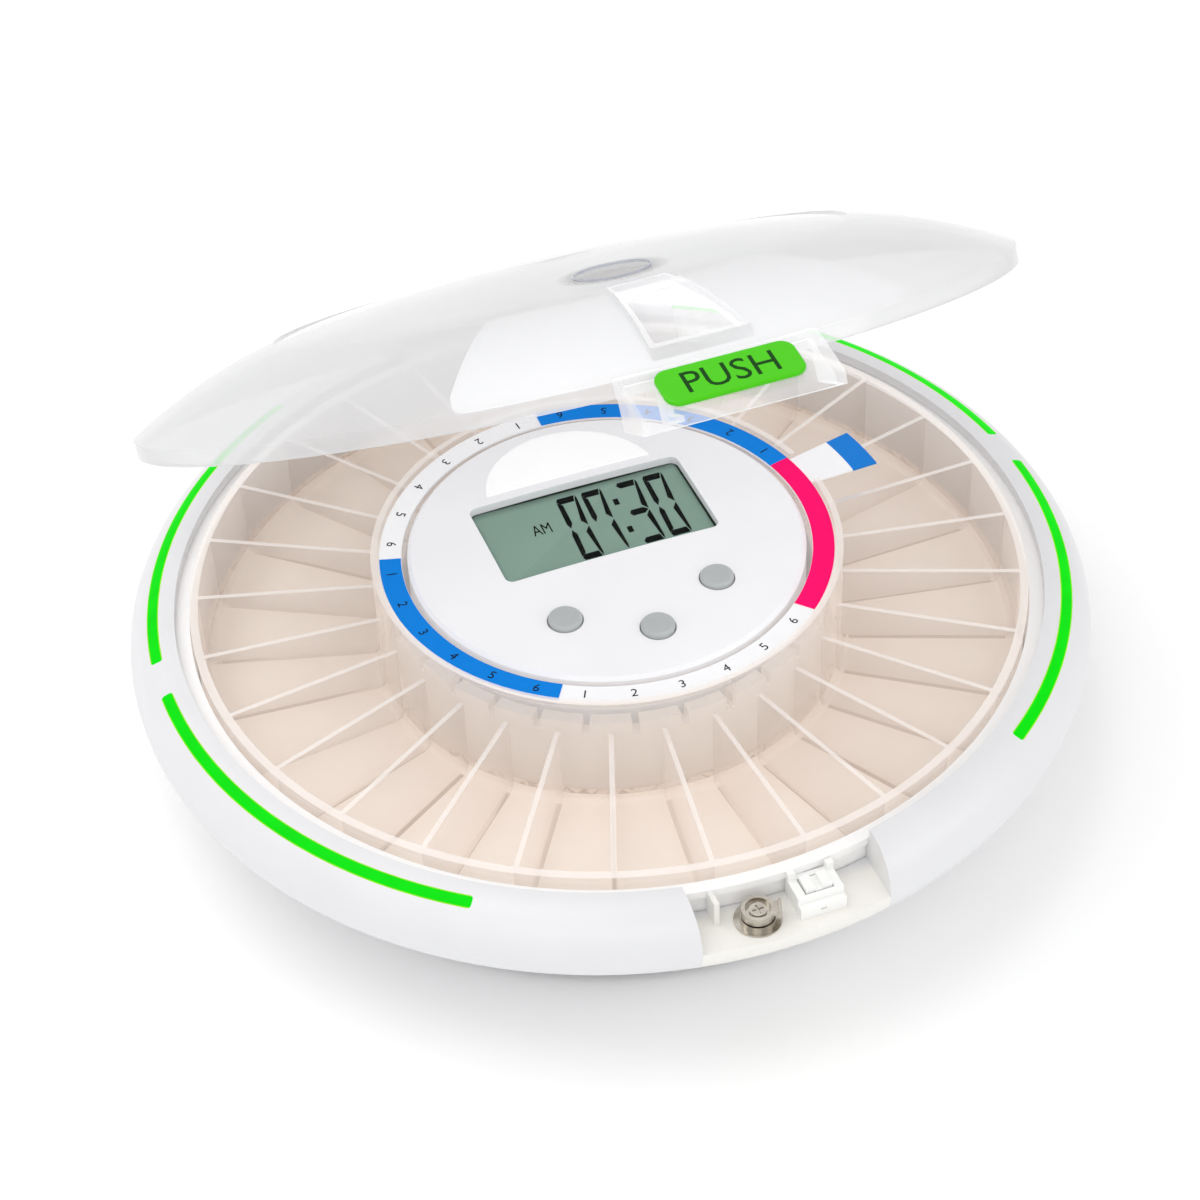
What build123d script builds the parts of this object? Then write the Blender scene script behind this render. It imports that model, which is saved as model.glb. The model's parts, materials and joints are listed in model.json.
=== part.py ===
from build123d import *
import math
import os

# Round automatic pill dispenser, in millimetres.
# Frame: origin on the table under the middle, +Z up, front (lock pocket) at -Y, lid hinge at +Y.
# The lid stands part open, the tray turns about Z inside the bowl.

os.makedirs("parts", exist_ok=True)

# ---------------------------------------------------------------- driving dimensions
GAP = 0.3                  # running and seating gap between separate pieces
FIT = 0.05                 # radial clearance of pins in their bores

# well that the tray turns in
WELL_R = 98.4              # inside of the well
WELL_WALL = 2.0
WELL_FLOOR_Z = 19.2        # top of the well floor
RIDGE_H = 2.8              # shelf that the lid's skirt sits on
RIDGE_DROP = 2.0           # how far that shelf lies under the rim
FLANGE_W = 2.7             # flange under the outer rim

# bowl housing
RIM_Z = 43.0               # top of the outer rim
RIM_W = 11.3               # width of the outer rim
SEAM = 0.7                 # gap between the lid's skirt and the outer rim
EDGE_R = 9.5               # radius of the rounded edge, from the rim to the sloping underside
UNDER_ANGLE = 40.7         # slope of the underside, from vertical
BOTTOM_Z = 1.5             # underside of the bowl
WALL = 2.5                 # bowl wall

# light bars in the rim
LIGHT_INSET = 4.8          # from the widest line to the bar's outer edge
LIGHT_W = 2.8
LIGHT_DEPTH = 1.6
LIGHT_CORNER = 0.8         # radius of the bars' corners
LIGHT_FIT = 0.05
LIGHT_SPANS = {            # start and end angle about Z
    "light_front_right": (-53.7, 0.0),
    "light_front_left": (180.0, 233.7),
    "light_rear_right": (6.0, 60.0),
    "light_rear_left": (120.0, 174.0),
}

# feet and case screws
FOOT_R = 6.0
FOOT_INSET = 39.0          # from the widest line to the foot's middle
FOOT_RECESS = 0.5
SCREW_INSET = 33.0
BOSS_R = 4.0
SCREW_R = 1.3
SCREW_HEAD_R = 3.0
SCREW_HEAD_T = 1.6

# power inlet in the bowl's wall, beside the hinge
JACK_ANGLE = 118.0
JACK_Z = 28.0
JACK_R = 4.2
JACK_HOLE_R = 2.8
JACK_PIN_R = 1.0

# hub
COLUMN_R = 46.5
COLUMN_WALL = 2.2
COLUMN_TOP_Z = 50.0
CAP_EDGE_H = 2.0           # height of the cap's edge over the column
CAP_RISE = 1.3             # how far the cap's middle stands above its edge
CAP_BEVEL = 0.8
CAP_T = 2.0
LCD_W = 52.8
LCD_H = 28.6
LCD_Y = 8.5
LCD_CORNER = 2.0
LCD_DROP = 0.7             # how far the glass lies under the cap's top
LCD_T = 1.8
LCD_GAP = 0.2
MODULE_INSET = 0.6
BOARD_R = 42.0
BOARD_T = 1.6
BOARD_DROP = 6.0           # board under the column's top
LEDGE_W = 6.0
LEDGE_H = 18.0
SWITCH_H = 1.6
SWITCH_W = 6.0
BUZZER_R = 6.0
BUZZER_H = 5.0
BUZZER_Y = 24.0
BUTTONS = {                # place of each button
    "button_left": (-18.5, -22.5),
    "button_middle": (0.0, -32.6),
    "button_right": (18.5, -22.5),
}
BUTTON_R = 3.9
BUTTON_PROUD = 0.7         # above the cap's middle
BUTTON_ROUND = 0.8
BUTTON_FLANGE_R = 5.2
BUTTON_FLANGE_T = 1.2
BUTTON_STEM_R = 1.5
BUTTON_TRAVEL = 1.0
STICKER_Y = 25.6
STICKER_HALF_W = 20.6
STICKER_RISE = 17.0
STICKER_T = 0.15

# drive ring, gears and motor
SLOTS = 29                 # 28 doses and one empty home place
TRAY_PHASE = 1.6           # angle of the first divider
RING_CLEAR = 2.2           # between the column and the ring
RING_W = 3.1
RING_BAND_H = 4.2          # thicker castellated band at the top
RING_STEP = 0.9            # how far the wall stands back under the band
NOTCH_W = 1.7
RING_FLANGE_W = 6.5
RING_FLANGE_T = 1.4
GEAR_Z0 = 9.0
GEAR_H = 5.0
GEAR_MODULE = 2.0
GEAR_TEETH = 56
PINION_TEETH = 12
TOOTH_W = 2.6              # tooth width on the pitch circle
TOOTH_TIP_W = 1.4
TOOTH_ROOT_W = 3.1
ADDENDUM = 1.6
DEDENDUM = 1.9
PINION_ANGLE = 150.0       # where the pinion meets the ring gear
PINION_BOSS_R = 4.0
PINION_BOSS_H = 1.2
SHAFT_R = 1.5
MOTOR_W = 26.0
MOTOR_BACK = 10.0          # gearbox reach from the shaft, inwards
MOTOR_REACH = 19.0         # and outwards
CAN_R = 5.8                # motor lying beside the gearbox

# tray
TRAY_CLEAR = 0.8           # between the tray and the well
TRAY_IN_CLEAR = 1.7        # between the drive ring and the tray
TRAY_WALL = 1.5
TRAY_PROUD = 0.4           # tray top above the outer rim
TRAY_FLOOR_T = 1.5
TRAY_COVE = 2.0
TRAY_BEAD = 0.4
TRAY_BEAD_H = 1.2
DIVIDER_T = 1.1
SHELF_RISE = 0.6           # shelf under the dosage ring, above the column's top
SHELF_T = 1.0
COLLAR_LIP = 1.7           # clear lip round the dosage ring
KEY_COUNT = 4

# dosage ring
LABEL_GAP = 0.4
LABEL_W = 5.2
LABEL_T = 0.5
BAND_T = 0.2
BAND_INSET = 0.1
FLAG_L = 17.0              # reach of the flag over its compartment
FLAG_MARGIN = 0.8          # angle left free at each side of the flag
FLAG_SLOT = 0              # the compartment that the flag covers
BLUE_SLOTS = 6
PINK_SLOTS = 5

# battery box
CELL_R = 7.25
CELL_L = 49.2
CELL_NUB_R = 2.75
CELL_NUB_L = 1.3
CELLS = 4
CELL_PITCH = 15.0
CELL_Z = 11.5
CELL_END_ROOM = 4.4
BOX_WALL = 1.5
DOOR_T = 2.0
GRIP_COUNT = 4
GRIP_W = 1.2
GRIP_PITCH = 3.0
CONTACT_T = 0.5
CONTACT_W = 9.0
CONTACT_R = 2.5

# lock pocket, lock and latch
POCKET_W = 43.0
POCKET_WALL = 1.6
POCKET_FIN_X = -15.6       # thin fin beside the lock
POCKET_FIN_T = 1.2
POCKET_FIN_L = 4.5
POCKET_FIN_H = 6.6
LOCK_X = -7.0
LOCK_INSET = 7.0           # from the widest line to the lock's middle
LOCK_R = 4.2
LOCK_WALL = 1.6            # sleeve round the barrel under the pocket floor
LOCK_L = 5.0
LOCK_PLUG_R = 2.8
PLUG_INSET = 0.4           # how far the plug's face lies inside the barrel
LOCK_BEZEL_R = 5.2
LOCK_BEZEL_T = 0.4
LOCK_NOSE_R = 3.8          # barrel above the pocket floor
KEYWAY_W = 1.2
KEYWAY_L = 4.4
KEYWAY_DEPTH = 4.6
CAM_RISE = 1.7             # cam above the pocket floor
CAM_CUP_R = 3.6            # cup that the cam's screw sits in
CAM_CUP_T = 0.8
CAM_CUP_H = 2.0
CAM_FLOOR_T = 0.7
CAM_PLATE_T = 0.7          # plate round the cup's top, with its tongue
CAM_W = 3.8
CAM_REACH = 5.0
CAM_HOOK_H = 0.6
CAM_HOOK_T = 0.8
CAM_REST = -20.0           # direction of the cam's tongue at rest, nearly half a turn before it catches
CAM_SCREW_R = 1.9
CAM_SCREW_T = 0.8
CAM_SLOT_L = 2.6
CAM_SLOT_W = 0.5
LATCH_X = 6.5
LATCH_INSET = 7.4
LATCH_W = 10.5
LATCH_D = 8.4
LATCH_H = 4.8
LATCH_WALL = 1.95
LATCH_FLOOR = 0.8
LATCH_STEP_D = 1.6
LATCH_STEP_H = 1.8
LATCH_POST_W = 1.7         # two upright posts behind the plunger
LATCH_POST_D = 1.3         # also the wall behind the plunger
LATCH_POST_H = 2.0
LATCH_SLOT_W = 1.4
LATCH_SLOT_H = 0.5
LATCH_SLOT_RISE = 1.4
LATCH_SLOT_DEPTH = 0.6
LATCH_LIP = 0.7            # wall before the plunger
PLUNGER_PROUD = 1.0
PLUNGER_SLOT = 1.6
PLUNGER_TRAVEL = 2.0

# lid, drawn closed
LID_STEP = 2.6             # how much wider the lid is than the well
LID_OPEN = 31.9            # how far the lid stands open
LID_T = 2.2
SKIRT_RISE = 1.8           # skirt's top edge above the outer rim
CROWN_R = 454.0            # radius of the dome's crown
SIDE_R = 114.2             # radius of the dome's outer part
EDGE_ANGLE = 30.3          # slope where the dome meets the skirt
STEP_R = 66.0              # fine round step in the dome
STEP_H = 0.6
HINGE_OUT = 4.2            # hinge axis behind the skirt
HINGE_DROP = 0.7           # hinge axis under the outer rim
HINGE_PIN_R = 1.5
KNUCKLE_R = 3.4
KNUCKLE_HALF = 18.0
WEB_H = 3.6
EAR_T = 4.0
EAR_R = 4.0
CHUTE_IN = 6.5             # dispensing opening, from the tray's inner and outer walls
CHUTE_OUT = 4.6
CHUTE_HALF = 5.7           # half angle of the dispensing opening
CHUTE_WALL = 1.2
CHUTE_CLEAR = 1.0          # over the tray
PLATE_IN = 3.0
PLATE_OUT = 2.1
PLATE_HALF = 31.5
PLATE_T = 1.2
PLATE_CORNER = 4.0
CUP_Y = -43.0
CUP_R = 9.75
CUP_WALL = 1.3
CUP_DEPTH = 4.4
TAB_HALF = 20.9
TAB_WALL = 1.5
TAB_ROOT = 6.0             # how far the tab reaches under the dome
TAB_RISE = 0.4             # tab's top above the skirt's
TAB_FALL = 7.2             # fall of its sloping front
TAB_CLEAR = 1.3            # under the tab, over the pocket floor
TAB_INSET = 0.6            # front of the tab behind the widest line
CATCH_REACH = 7.0          # catch under the tab that the turned cam holds, measured from the lock
CATCH_D = 5.0
CATCH_SHIFT = 1.0
CATCH_T = 1.2
STEM_T = 1.4
STRIKER_W = 4.4
STRIKER_SHIFT = 1.0
STRIKER_D = 3.0
PUSH_W = 29.0
PUSH_H = 10.6
PUSH_CORNER = 3.0
PUSH_RAISE = 0.8
PUSH_ROUND = 0.5

# ---------------------------------------------------------------- derived values
LID_R = WELL_R + LID_STEP
RIM_INNER_R = LID_R + SEAM
BASE_R = RIM_INNER_R + RIM_W
WIDEST_Z = RIM_Z - EDGE_R
RIDGE_Z = RIM_Z - RIDGE_DROP
FLOOR_Z = BOTTOM_Z + WALL
WELL_OUT_R = WELL_R + WELL_WALL
WELL_UNDER_Z = WELL_FLOOR_Z - WELL_WALL
FLANGE_R = RIM_INNER_R + FLANGE_W
LIGHT_OUT_R = BASE_R - LIGHT_INSET
LIGHT_IN_R = LIGHT_OUT_R - LIGHT_W
FOOT_CIRCLE_R = BASE_R - FOOT_INSET
SCREW_CIRCLE_R = BASE_R - SCREW_INSET
COLUMN_IN_R = COLUMN_R - COLUMN_WALL
CAP_EDGE_Z = COLUMN_TOP_Z + CAP_EDGE_H
CAP_TOP_Z = CAP_EDGE_Z + CAP_RISE
BOARD_Z = COLUMN_TOP_Z - BOARD_DROP
BOARD_TOP_Z = BOARD_Z + BOARD_T
BUTTON_TOP_Z = CAP_TOP_Z + BUTTON_PROUD
SLOT_ANGLE = 360.0 / SLOTS
RING_IN_R = COLUMN_R + RING_CLEAR
RING_OUT_R = RING_IN_R + RING_W
RING_FLANGE_R = RING_OUT_R + RING_FLANGE_W
RING_FLANGE_Z = WELL_FLOOR_Z + GAP
WELL_HOLE_R = RING_OUT_R + 1.6
GEAR_PITCH_R = GEAR_MODULE * GEAR_TEETH / 2
PINION_PITCH_R = GEAR_MODULE * PINION_TEETH / 2
PINION_CENTRE_R = GEAR_PITCH_R + PINION_PITCH_R
GEAR_TOP_Z = GEAR_Z0 + GEAR_H
MOTOR_TOP_Z = GEAR_Z0 - GAP
TRAY_OUT_R = WELL_R - TRAY_CLEAR
TRAY_IN_R = RING_OUT_R + TRAY_IN_CLEAR
TRAY_TOP_Z = RIM_Z + TRAY_PROUD
RING_TOP_Z = TRAY_TOP_Z
TRAY_Z = RING_FLANGE_Z + RING_FLANGE_T
TRAY_FLOOR_Z = TRAY_Z + TRAY_FLOOR_T
TRAY_IN_WALL_R = TRAY_IN_R + TRAY_WALL
TRAY_OUT_WALL_R = TRAY_OUT_R - TRAY_WALL
SHELF_Z = COLUMN_TOP_Z + SHELF_RISE
COLLAR_TOP_Z = SHELF_Z + COLLAR_LIP
LABEL_OUT_R = TRAY_IN_R - LABEL_GAP
LABEL_IN_R = LABEL_OUT_R - LABEL_W
FLAG_R = TRAY_IN_R + FLAG_L
BOX_W = CELLS * CELL_PITCH + 1.0
BOX_L = CELL_L + CELL_NUB_L + CELL_END_ROOM
BOX_TOP_Z = CELL_Z + CELL_R + GAP
DOOR_Z = CELL_Z - CELL_R - GAP - DOOR_T
DOOR_W = BOX_W - 2 * GAP
DOOR_L = BOX_L - 2 * GAP
POCKET_IN_R = WELL_OUT_R + GAP
POCKET_FLOOR_Z = WIDEST_Z
LOCK_Y = -(BASE_R - LOCK_INSET)
LOCK_BOTTOM_Z = POCKET_FLOOR_Z - LOCK_L
CAM_Z = POCKET_FLOOR_Z + CAM_RISE
LATCH_Y = -(BASE_R - LATCH_INSET)
LATCH_TOP_Z = POCKET_FLOOR_Z + LATCH_H
PLUNGER_TOP_Z = LATCH_TOP_Z + PLUNGER_PROUD
HINGE_Y = LID_R + HINGE_OUT
HINGE_Z = RIM_Z - HINGE_DROP
HINGE_HALF = KNUCKLE_HALF + GAP + EAR_T
HINGE_FLOOR_Z = HINGE_Z - EAR_R - WEB_H + GAP
SKIRT_TOP_Z = RIM_Z + SKIRT_RISE
CHUTE_IN_R = TRAY_IN_R + CHUTE_IN
CHUTE_OUT_R = TRAY_OUT_R - CHUTE_OUT
CHUTE_Z = TRAY_TOP_Z + CHUTE_CLEAR
PLATE_IN_R = TRAY_IN_R + PLATE_IN
PLATE_OUT_R = TRAY_OUT_R - PLATE_OUT
TAB_TOP_Z = SKIRT_TOP_Z + TAB_RISE
TAB_BOTTOM_Z = POCKET_FLOOR_Z + TAB_CLEAR
TAB_REACH = BASE_R - TAB_INSET


# ---------------------------------------------------------------- helpers
def save(node, shape):
    shape.label = node
    export_step(shape, f"parts/{node}.step")


def polar(radius, angle, z=0.0):
    turn = math.radians(angle)
    return (radius * math.cos(turn), radius * math.sin(turn), z)


def disc(radius, z0, z1, x=0.0, y=0.0):
    return Pos(x, y, z0) * Cylinder(radius, z1 - z0, align=(Align.CENTER, Align.CENTER, Align.MIN))


def ring(outer, inner, z0, z1):
    return disc(outer, z0, z1) - disc(inner, z0 - 1, z1 + 1)


def block(x0, x1, y0, y1, z0, z1):
    size = Box(x1 - x0, y1 - y0, z1 - z0, align=(Align.MIN, Align.MIN, Align.MIN))
    return Pos(x0, y0, z0) * size


def lathe(face, angle=360.0, start=0.0):
    """Revolve a section drawn as (radius, height) about the Z axis."""
    solid = revolve(Plane.XZ * face, Axis.Z, angle)
    return Rot(0, 0, start) * solid


def section(*points):
    return make_face(Polyline(*points, close=True))


def profile(*curves):
    """Face inside a closed chain of curves."""
    return make_face(Wire([edge for curve in curves for edge in curve.edges()]))


def wedge(inner, outer, half, middle, z0, z1):
    """Sector of a ring with straight radial sides."""
    reach = 1.3 * outer
    corners = [(0, 0)] + [polar(reach, middle + turn)[:2] for turn in (-half, 0, half)]
    sector = Pos(0, 0, z0) * extrude(make_face(Polyline(*corners, close=True)), z1 - z0)
    return ring(outer, inner, z0, z1) & sector


def side_cut(points, x0, x1):
    """Extrude a (y, z) outline from x0 to x1."""
    outline = make_face(Polyline(*points, close=True))
    return Pos(x0, 0, 0) * extrude(Plane.YZ * outline, x1 - x0)


def lug(x0, x1, radius, centre_y, centre_z, foot_z):
    """Upright plate with a round top about a centre."""
    round_top = Pos((x0 + x1) / 2, centre_y, centre_z) * Rot(0, 90, 0) * Cylinder(radius, x1 - x0)
    return round_top + block(x0, x1, centre_y - radius, centre_y + radius, foot_z, centre_z)


def along_x(radius, x0, x1, y, z):
    return Pos((x0 + x1) / 2, y, z) * Rot(0, 90, 0) * Cylinder(radius, x1 - x0)


# ---------------------------------------------------------------- bowl housing
def bowl(inset, bottom):
    """Solid of the bowl's outer form, drawn in by inset, flat at the given bottom height."""
    turn = math.radians(UNDER_ANGLE)
    centre_r = BASE_R - EDGE_R
    radius = EDGE_R - inset
    tangent_r = centre_r + radius * math.cos(turn)
    tangent_z = WIDEST_Z - radius * math.sin(turn)
    bottom_r = tangent_r - (tangent_z - bottom) * math.tan(turn)
    edge = CenterArc((centre_r, WIDEST_Z), radius, -UNDER_ANGLE, UNDER_ANGLE + 90)
    top = RIM_Z - inset
    rest = Polyline((tangent_r, tangent_z), (bottom_r, bottom), (0, bottom), (0, top), (centre_r, top))
    return lathe(profile(edge, rest))


def pocket_zone(half, floor, front):
    """Box at the front (or back) rim between the well wall and the outside."""
    y0, y1 = (-BASE_R - 1, -POCKET_IN_R + 8) if front else (POCKET_IN_R - 8, BASE_R + 1)
    zone = block(-half, half, y0, y1, floor, RIM_Z + 10)
    return zone - disc(POCKET_IN_R, floor - 1, RIM_Z + 11)


def well_relief():
    """Space kept free for the well's ridge and flange."""
    return disc(RIM_INNER_R, RIDGE_Z - RIDGE_H - GAP, RIM_Z + 11)


def light_bar(span, shrink, depth):
    """Arc-shaped bar with softly rounded corners that follows the shoulder."""
    inner, outer = LIGHT_IN_R + shrink, LIGHT_OUT_R - shrink
    margin = math.degrees(shrink / inner)
    first, last = span[0] + margin, span[1] - margin
    arcs = [CenterArc((0, 0), radius, first, last - first) for radius in (inner, outer)]
    ends = [Line(arcs[0] @ place, arcs[1] @ place) for place in (0, 1)]
    outline = profile(arcs[0], ends[1], arcs[1], ends[0])
    outline = fillet(outline.vertices(), LIGHT_CORNER - shrink)
    plan = Pos(0, 0, WIDEST_Z) * extrude(outline, RIM_Z - WIDEST_Z + 1)
    return plan & (bowl(0, BOTTOM_Z) - bowl(depth, BOTTOM_Z))


def pocket_fin():
    """Thin upright fin that stands on the pocket floor against the back of the pocket."""
    back = -math.sqrt(POCKET_IN_R**2 - POCKET_FIN_X**2) - GAP
    half_t = POCKET_FIN_T / 2
    top = POCKET_FLOOR_Z + POCKET_FIN_H
    return block(POCKET_FIN_X - half_t, POCKET_FIN_X + half_t, back - POCKET_FIN_L, back, POCKET_FLOOR_Z, top)


def rim_pocket_walls(half, floor, front):
    walls = pocket_zone(half + POCKET_WALL, floor - POCKET_WALL, front) & bowl(0, BOTTOM_Z)
    return walls - well_relief()


def make_base_housing():
    shell = bowl(0, BOTTOM_Z) - bowl(WALL, FLOOR_Z) - jack_form(JACK_R + 0.2, WELL_OUT_R - 1)
    shell -= disc(RIM_INNER_R, RIM_Z - WALL - 1, RIM_Z + 1)
    shell += rim_pocket_walls(POCKET_W / 2, POCKET_FLOOR_Z, True)
    shell += rim_pocket_walls(HINGE_HALF, HINGE_FLOOR_Z, False)
    shell -= pocket_zone(POCKET_W / 2, POCKET_FLOOR_Z, True)
    shell -= pocket_zone(HINGE_HALF, HINGE_FLOOR_Z, False)
    shell += pocket_fin()
    sleeve = disc(LOCK_R + LOCK_WALL, BOTTOM_Z, POCKET_FLOOR_Z, LOCK_X, LOCK_Y) & bowl(0, BOTTOM_Z)
    shell += sleeve - disc(POCKET_IN_R, BOTTOM_Z - 1, RIM_Z)
    for side in (-1, 1):
        x0, x1 = sorted((side * (KNUCKLE_HALF + GAP), side * HINGE_HALF))
        shell += lug(x0, x1, EAR_R, HINGE_Y, HINGE_Z, HINGE_FLOOR_Z)
    shell -= along_x(HINGE_PIN_R + FIT, -HINGE_HALF - 5, HINGE_HALF + 5, HINGE_Y, HINGE_Z)
    for angle in (0, 90, 180, 270):
        shell += disc(BOSS_R, FLOOR_Z - 0.5, WELL_UNDER_Z, *polar(SCREW_CIRCLE_R, angle)[:2])
    for angle in (0, 90, 180, 270):
        x, y, _ = polar(SCREW_CIRCLE_R, angle)
        shell -= disc(SCREW_R + 0.1, BOTTOM_Z - 1, WELL_UNDER_Z + 1, x, y)
        shell -= disc(SCREW_HEAD_R + GAP, BOTTOM_Z - 1, BOTTOM_Z + SCREW_HEAD_T + 0.2, x, y)
    for angle in (45, 135, 225, 315):
        shell -= disc(FOOT_R, BOTTOM_Z - 1, BOTTOM_Z + FOOT_RECESS, *polar(FOOT_CIRCLE_R, angle)[:2])
    shell -= block(-BOX_W / 2, BOX_W / 2, -BOX_L / 2, BOX_L / 2, BOTTOM_Z - 1, FLOOR_Z + 1)
    shell -= disc(LOCK_R + FIT, BOTTOM_Z, POCKET_FLOOR_Z + 1, LOCK_X, LOCK_Y)
    for span in LIGHT_SPANS.values():
        shell -= light_bar(span, 0.0, LIGHT_DEPTH)
    return shell


def jack_form(radius, start):
    axis = Rot(0, 0, JACK_ANGLE) * Pos(start, 0, JACK_Z) * Rot(0, 90, 0)
    return axis * Cylinder(radius, 40.0, align=(Align.CENTER, Align.CENTER, Align.MIN))


def make_power_jack():
    start = WELL_OUT_R + 0.4
    body = jack_form(JACK_R, start) - jack_form(JACK_HOLE_R, start + 2.0) + jack_form(JACK_PIN_R, start + 1.0)
    keep = bowl(0.4, BOTTOM_Z)
    return body & keep


def make_well_floor():
    """Floor of the well that the tray turns in."""
    return ring(WELL_OUT_R, WELL_HOLE_R, WELL_UNDER_Z, WELL_FLOOR_Z) & bowl(WALL + GAP, FLOOR_Z)


def make_well_wall():
    """Wall of the well, with the shelf that the closed lid rests on and the flange under the rim."""
    wall = ring(WELL_OUT_R, WELL_R, WELL_FLOOR_Z, RIDGE_Z)
    ridge = ring(FLANGE_R, WELL_R, RIDGE_Z - RIDGE_H, RIDGE_Z)
    flange = ring(FLANGE_R, RIM_INNER_R, RIDGE_Z - RIDGE_H, RIM_Z - WALL - GAP)
    for half, front in ((POCKET_W / 2, True), (HINGE_HALF, False)):
        keep_out = pocket_zone(half + POCKET_WALL + GAP, 0, front)
        keep_out -= disc(RIM_INNER_R - GAP, -2, RIM_Z + 12)
        ridge -= keep_out
        flange -= keep_out
    return (wall + ridge + flange) & bowl(WALL + GAP, FLOOR_Z)


def make_foot(angle):
    x, y, _ = polar(FOOT_CIRCLE_R, angle)
    return disc(FOOT_R - 0.1, 0, BOTTOM_Z + FOOT_RECESS, x, y)


def make_case_screw(angle):
    x, y, _ = polar(SCREW_CIRCLE_R, angle)
    head_z = BOTTOM_Z + 0.2
    head = disc(SCREW_HEAD_R, head_z, head_z + SCREW_HEAD_T, x, y)
    return head + disc(SCREW_R, head_z, WELL_UNDER_Z - 2, x, y)


# ---------------------------------------------------------------- hub
def make_column():
    tube = ring(COLUMN_R, COLUMN_IN_R, FLOOR_Z, COLUMN_TOP_Z)
    for angle in (45, 135, 225, 315):
        ledge = block(BOARD_R - 4, COLUMN_IN_R + 0.5, -LEDGE_W / 2, LEDGE_W / 2, BOARD_Z - LEDGE_H, BOARD_Z)
        tube += Rot(0, 0, angle) * ledge
    return tube


def crown(top, drop, reach):
    """Arc of a shallow crown: its top on the axis, falling by drop at the given reach."""
    radius = (reach**2 + drop**2) / (2 * drop)
    half = math.degrees(math.asin(reach / radius))
    return CenterArc((0, top - radius), radius, 90 - half, half)


def cap_form(offset):
    """Crowned top of the hub, raised by offset."""
    edge_r = COLUMN_R - CAP_BEVEL
    top = CAP_TOP_Z + offset
    edge = CAP_EDGE_Z + offset
    rest = Polyline(
        (edge_r, edge), (COLUMN_R, edge - CAP_BEVEL), (COLUMN_R, COLUMN_TOP_Z), (0, COLUMN_TOP_Z), (0, top)
    )
    return lathe(profile(crown(top, CAP_RISE, edge_r), rest))


def cap_hollow():
    under_r = COLUMN_IN_R - 0.4
    top = CAP_TOP_Z - CAP_T
    edge = top - CAP_RISE
    low = COLUMN_TOP_Z - 1
    rest = Polyline((under_r, edge), (under_r, low), (0, low), (0, top))
    return lathe(profile(crown(top, CAP_RISE, under_r), rest))


def lcd_window(margin, z0, z1):
    plan = RectangleRounded(LCD_W + 2 * margin, LCD_H + 2 * margin, LCD_CORNER + margin)
    return Pos(0, LCD_Y, z0) * extrude(plan, z1 - z0)


def make_hub_cap():
    cap = cap_form(0) - cap_hollow()
    cap -= lcd_window(0, COLUMN_TOP_Z - 1, CAP_TOP_Z + 1)
    for x, y in BUTTONS.values():
        cap -= disc(BUTTON_R + GAP, COLUMN_TOP_Z - 1, CAP_TOP_Z + 1, x, y)
    return cap


def make_lcd_glass():
    top = CAP_TOP_Z - LCD_DROP
    return lcd_window(-LCD_GAP, top - LCD_T, top)


def make_lcd_module():
    top = CAP_TOP_Z - LCD_DROP - LCD_T
    return lcd_window(-MODULE_INSET, BOARD_TOP_Z, top)


def make_board():
    board = disc(BOARD_R, BOARD_Z, BOARD_TOP_Z)
    for angle in (0, 180):
        x, y, _ = polar(BOARD_R, angle)
        board -= disc(4.0, BOARD_Z - 1, BOARD_TOP_Z + 1, x, y)
    return board


def make_switches():
    """Tactile switches on the board, one under each button."""
    solids = []
    for x, y in BUTTONS.values():
        half = SWITCH_W / 2
        solids.append(block(x - half, x + half, y - half, y + half, BOARD_TOP_Z, BOARD_TOP_Z + SWITCH_H))
    return Compound(children=solids)


def make_button(place):
    x, y = place
    flange_top = COLUMN_TOP_Z
    flange_z = flange_top - BUTTON_FLANGE_T
    nib_z = BOARD_TOP_Z + SWITCH_H + BUTTON_TRAVEL + GAP
    top = disc(BUTTON_R, flange_z, BUTTON_TOP_Z, x, y)
    rim = top.edges().filter_by(GeomType.CIRCLE).sort_by(Axis.Z)[-1]
    top = fillet(rim, BUTTON_ROUND)
    return top + disc(BUTTON_FLANGE_R, flange_z, flange_top, x, y) + disc(BUTTON_STEM_R, nib_z, flange_z, x, y)


def make_sticker():
    """Blank half-round label above the display."""
    left = (-STICKER_HALF_W, STICKER_Y)
    right = (STICKER_HALF_W, STICKER_Y)
    arc = ThreePointArc(left, (0, STICKER_Y + STICKER_RISE), right)
    plan = make_face(Wire([arc.edge(), Line(right, left).edge()]))
    prism = Pos(0, 0, COLUMN_TOP_Z) * extrude(plan, 10)
    return prism & (cap_form(STICKER_T) - cap_form(0))


def make_buzzer():
    low = BOARD_Z - BUZZER_H
    return disc(BUZZER_R, low, BOARD_Z, 0, BUZZER_Y) - disc(1.0, low - 1, BOARD_Z - 2, 0, BUZZER_Y)


# ---------------------------------------------------------------- battery box
def cell_places():
    first = -(CELLS - 1) / 2
    return [(first + i) * CELL_PITCH for i in range(CELLS)]


def make_battery_box():
    outer = block(-BOX_W / 2 - BOX_WALL, BOX_W / 2 + BOX_WALL, -BOX_L / 2 - BOX_WALL, BOX_L / 2 + BOX_WALL,
                  FLOOR_Z, BOX_TOP_Z + BOX_WALL)
    inner = block(-BOX_W / 2, BOX_W / 2, -BOX_L / 2, BOX_L / 2, FLOOR_Z - 1, BOX_TOP_Z)
    return outer - inner


def make_cell(x, flip):
    """AA cell lying along Y."""
    body = Pos(0, -CELL_NUB_L / 2, 0) * Rot(90, 0, 0) * Cylinder(CELL_R, CELL_L)
    nub = Pos(0, CELL_L / 2, 0) * Rot(90, 0, 0) * Cylinder(CELL_NUB_R, CELL_NUB_L)
    return Pos(x, 0, CELL_Z) * Rot(0, 0, 180 if flip else 0) * (body + nub)


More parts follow.
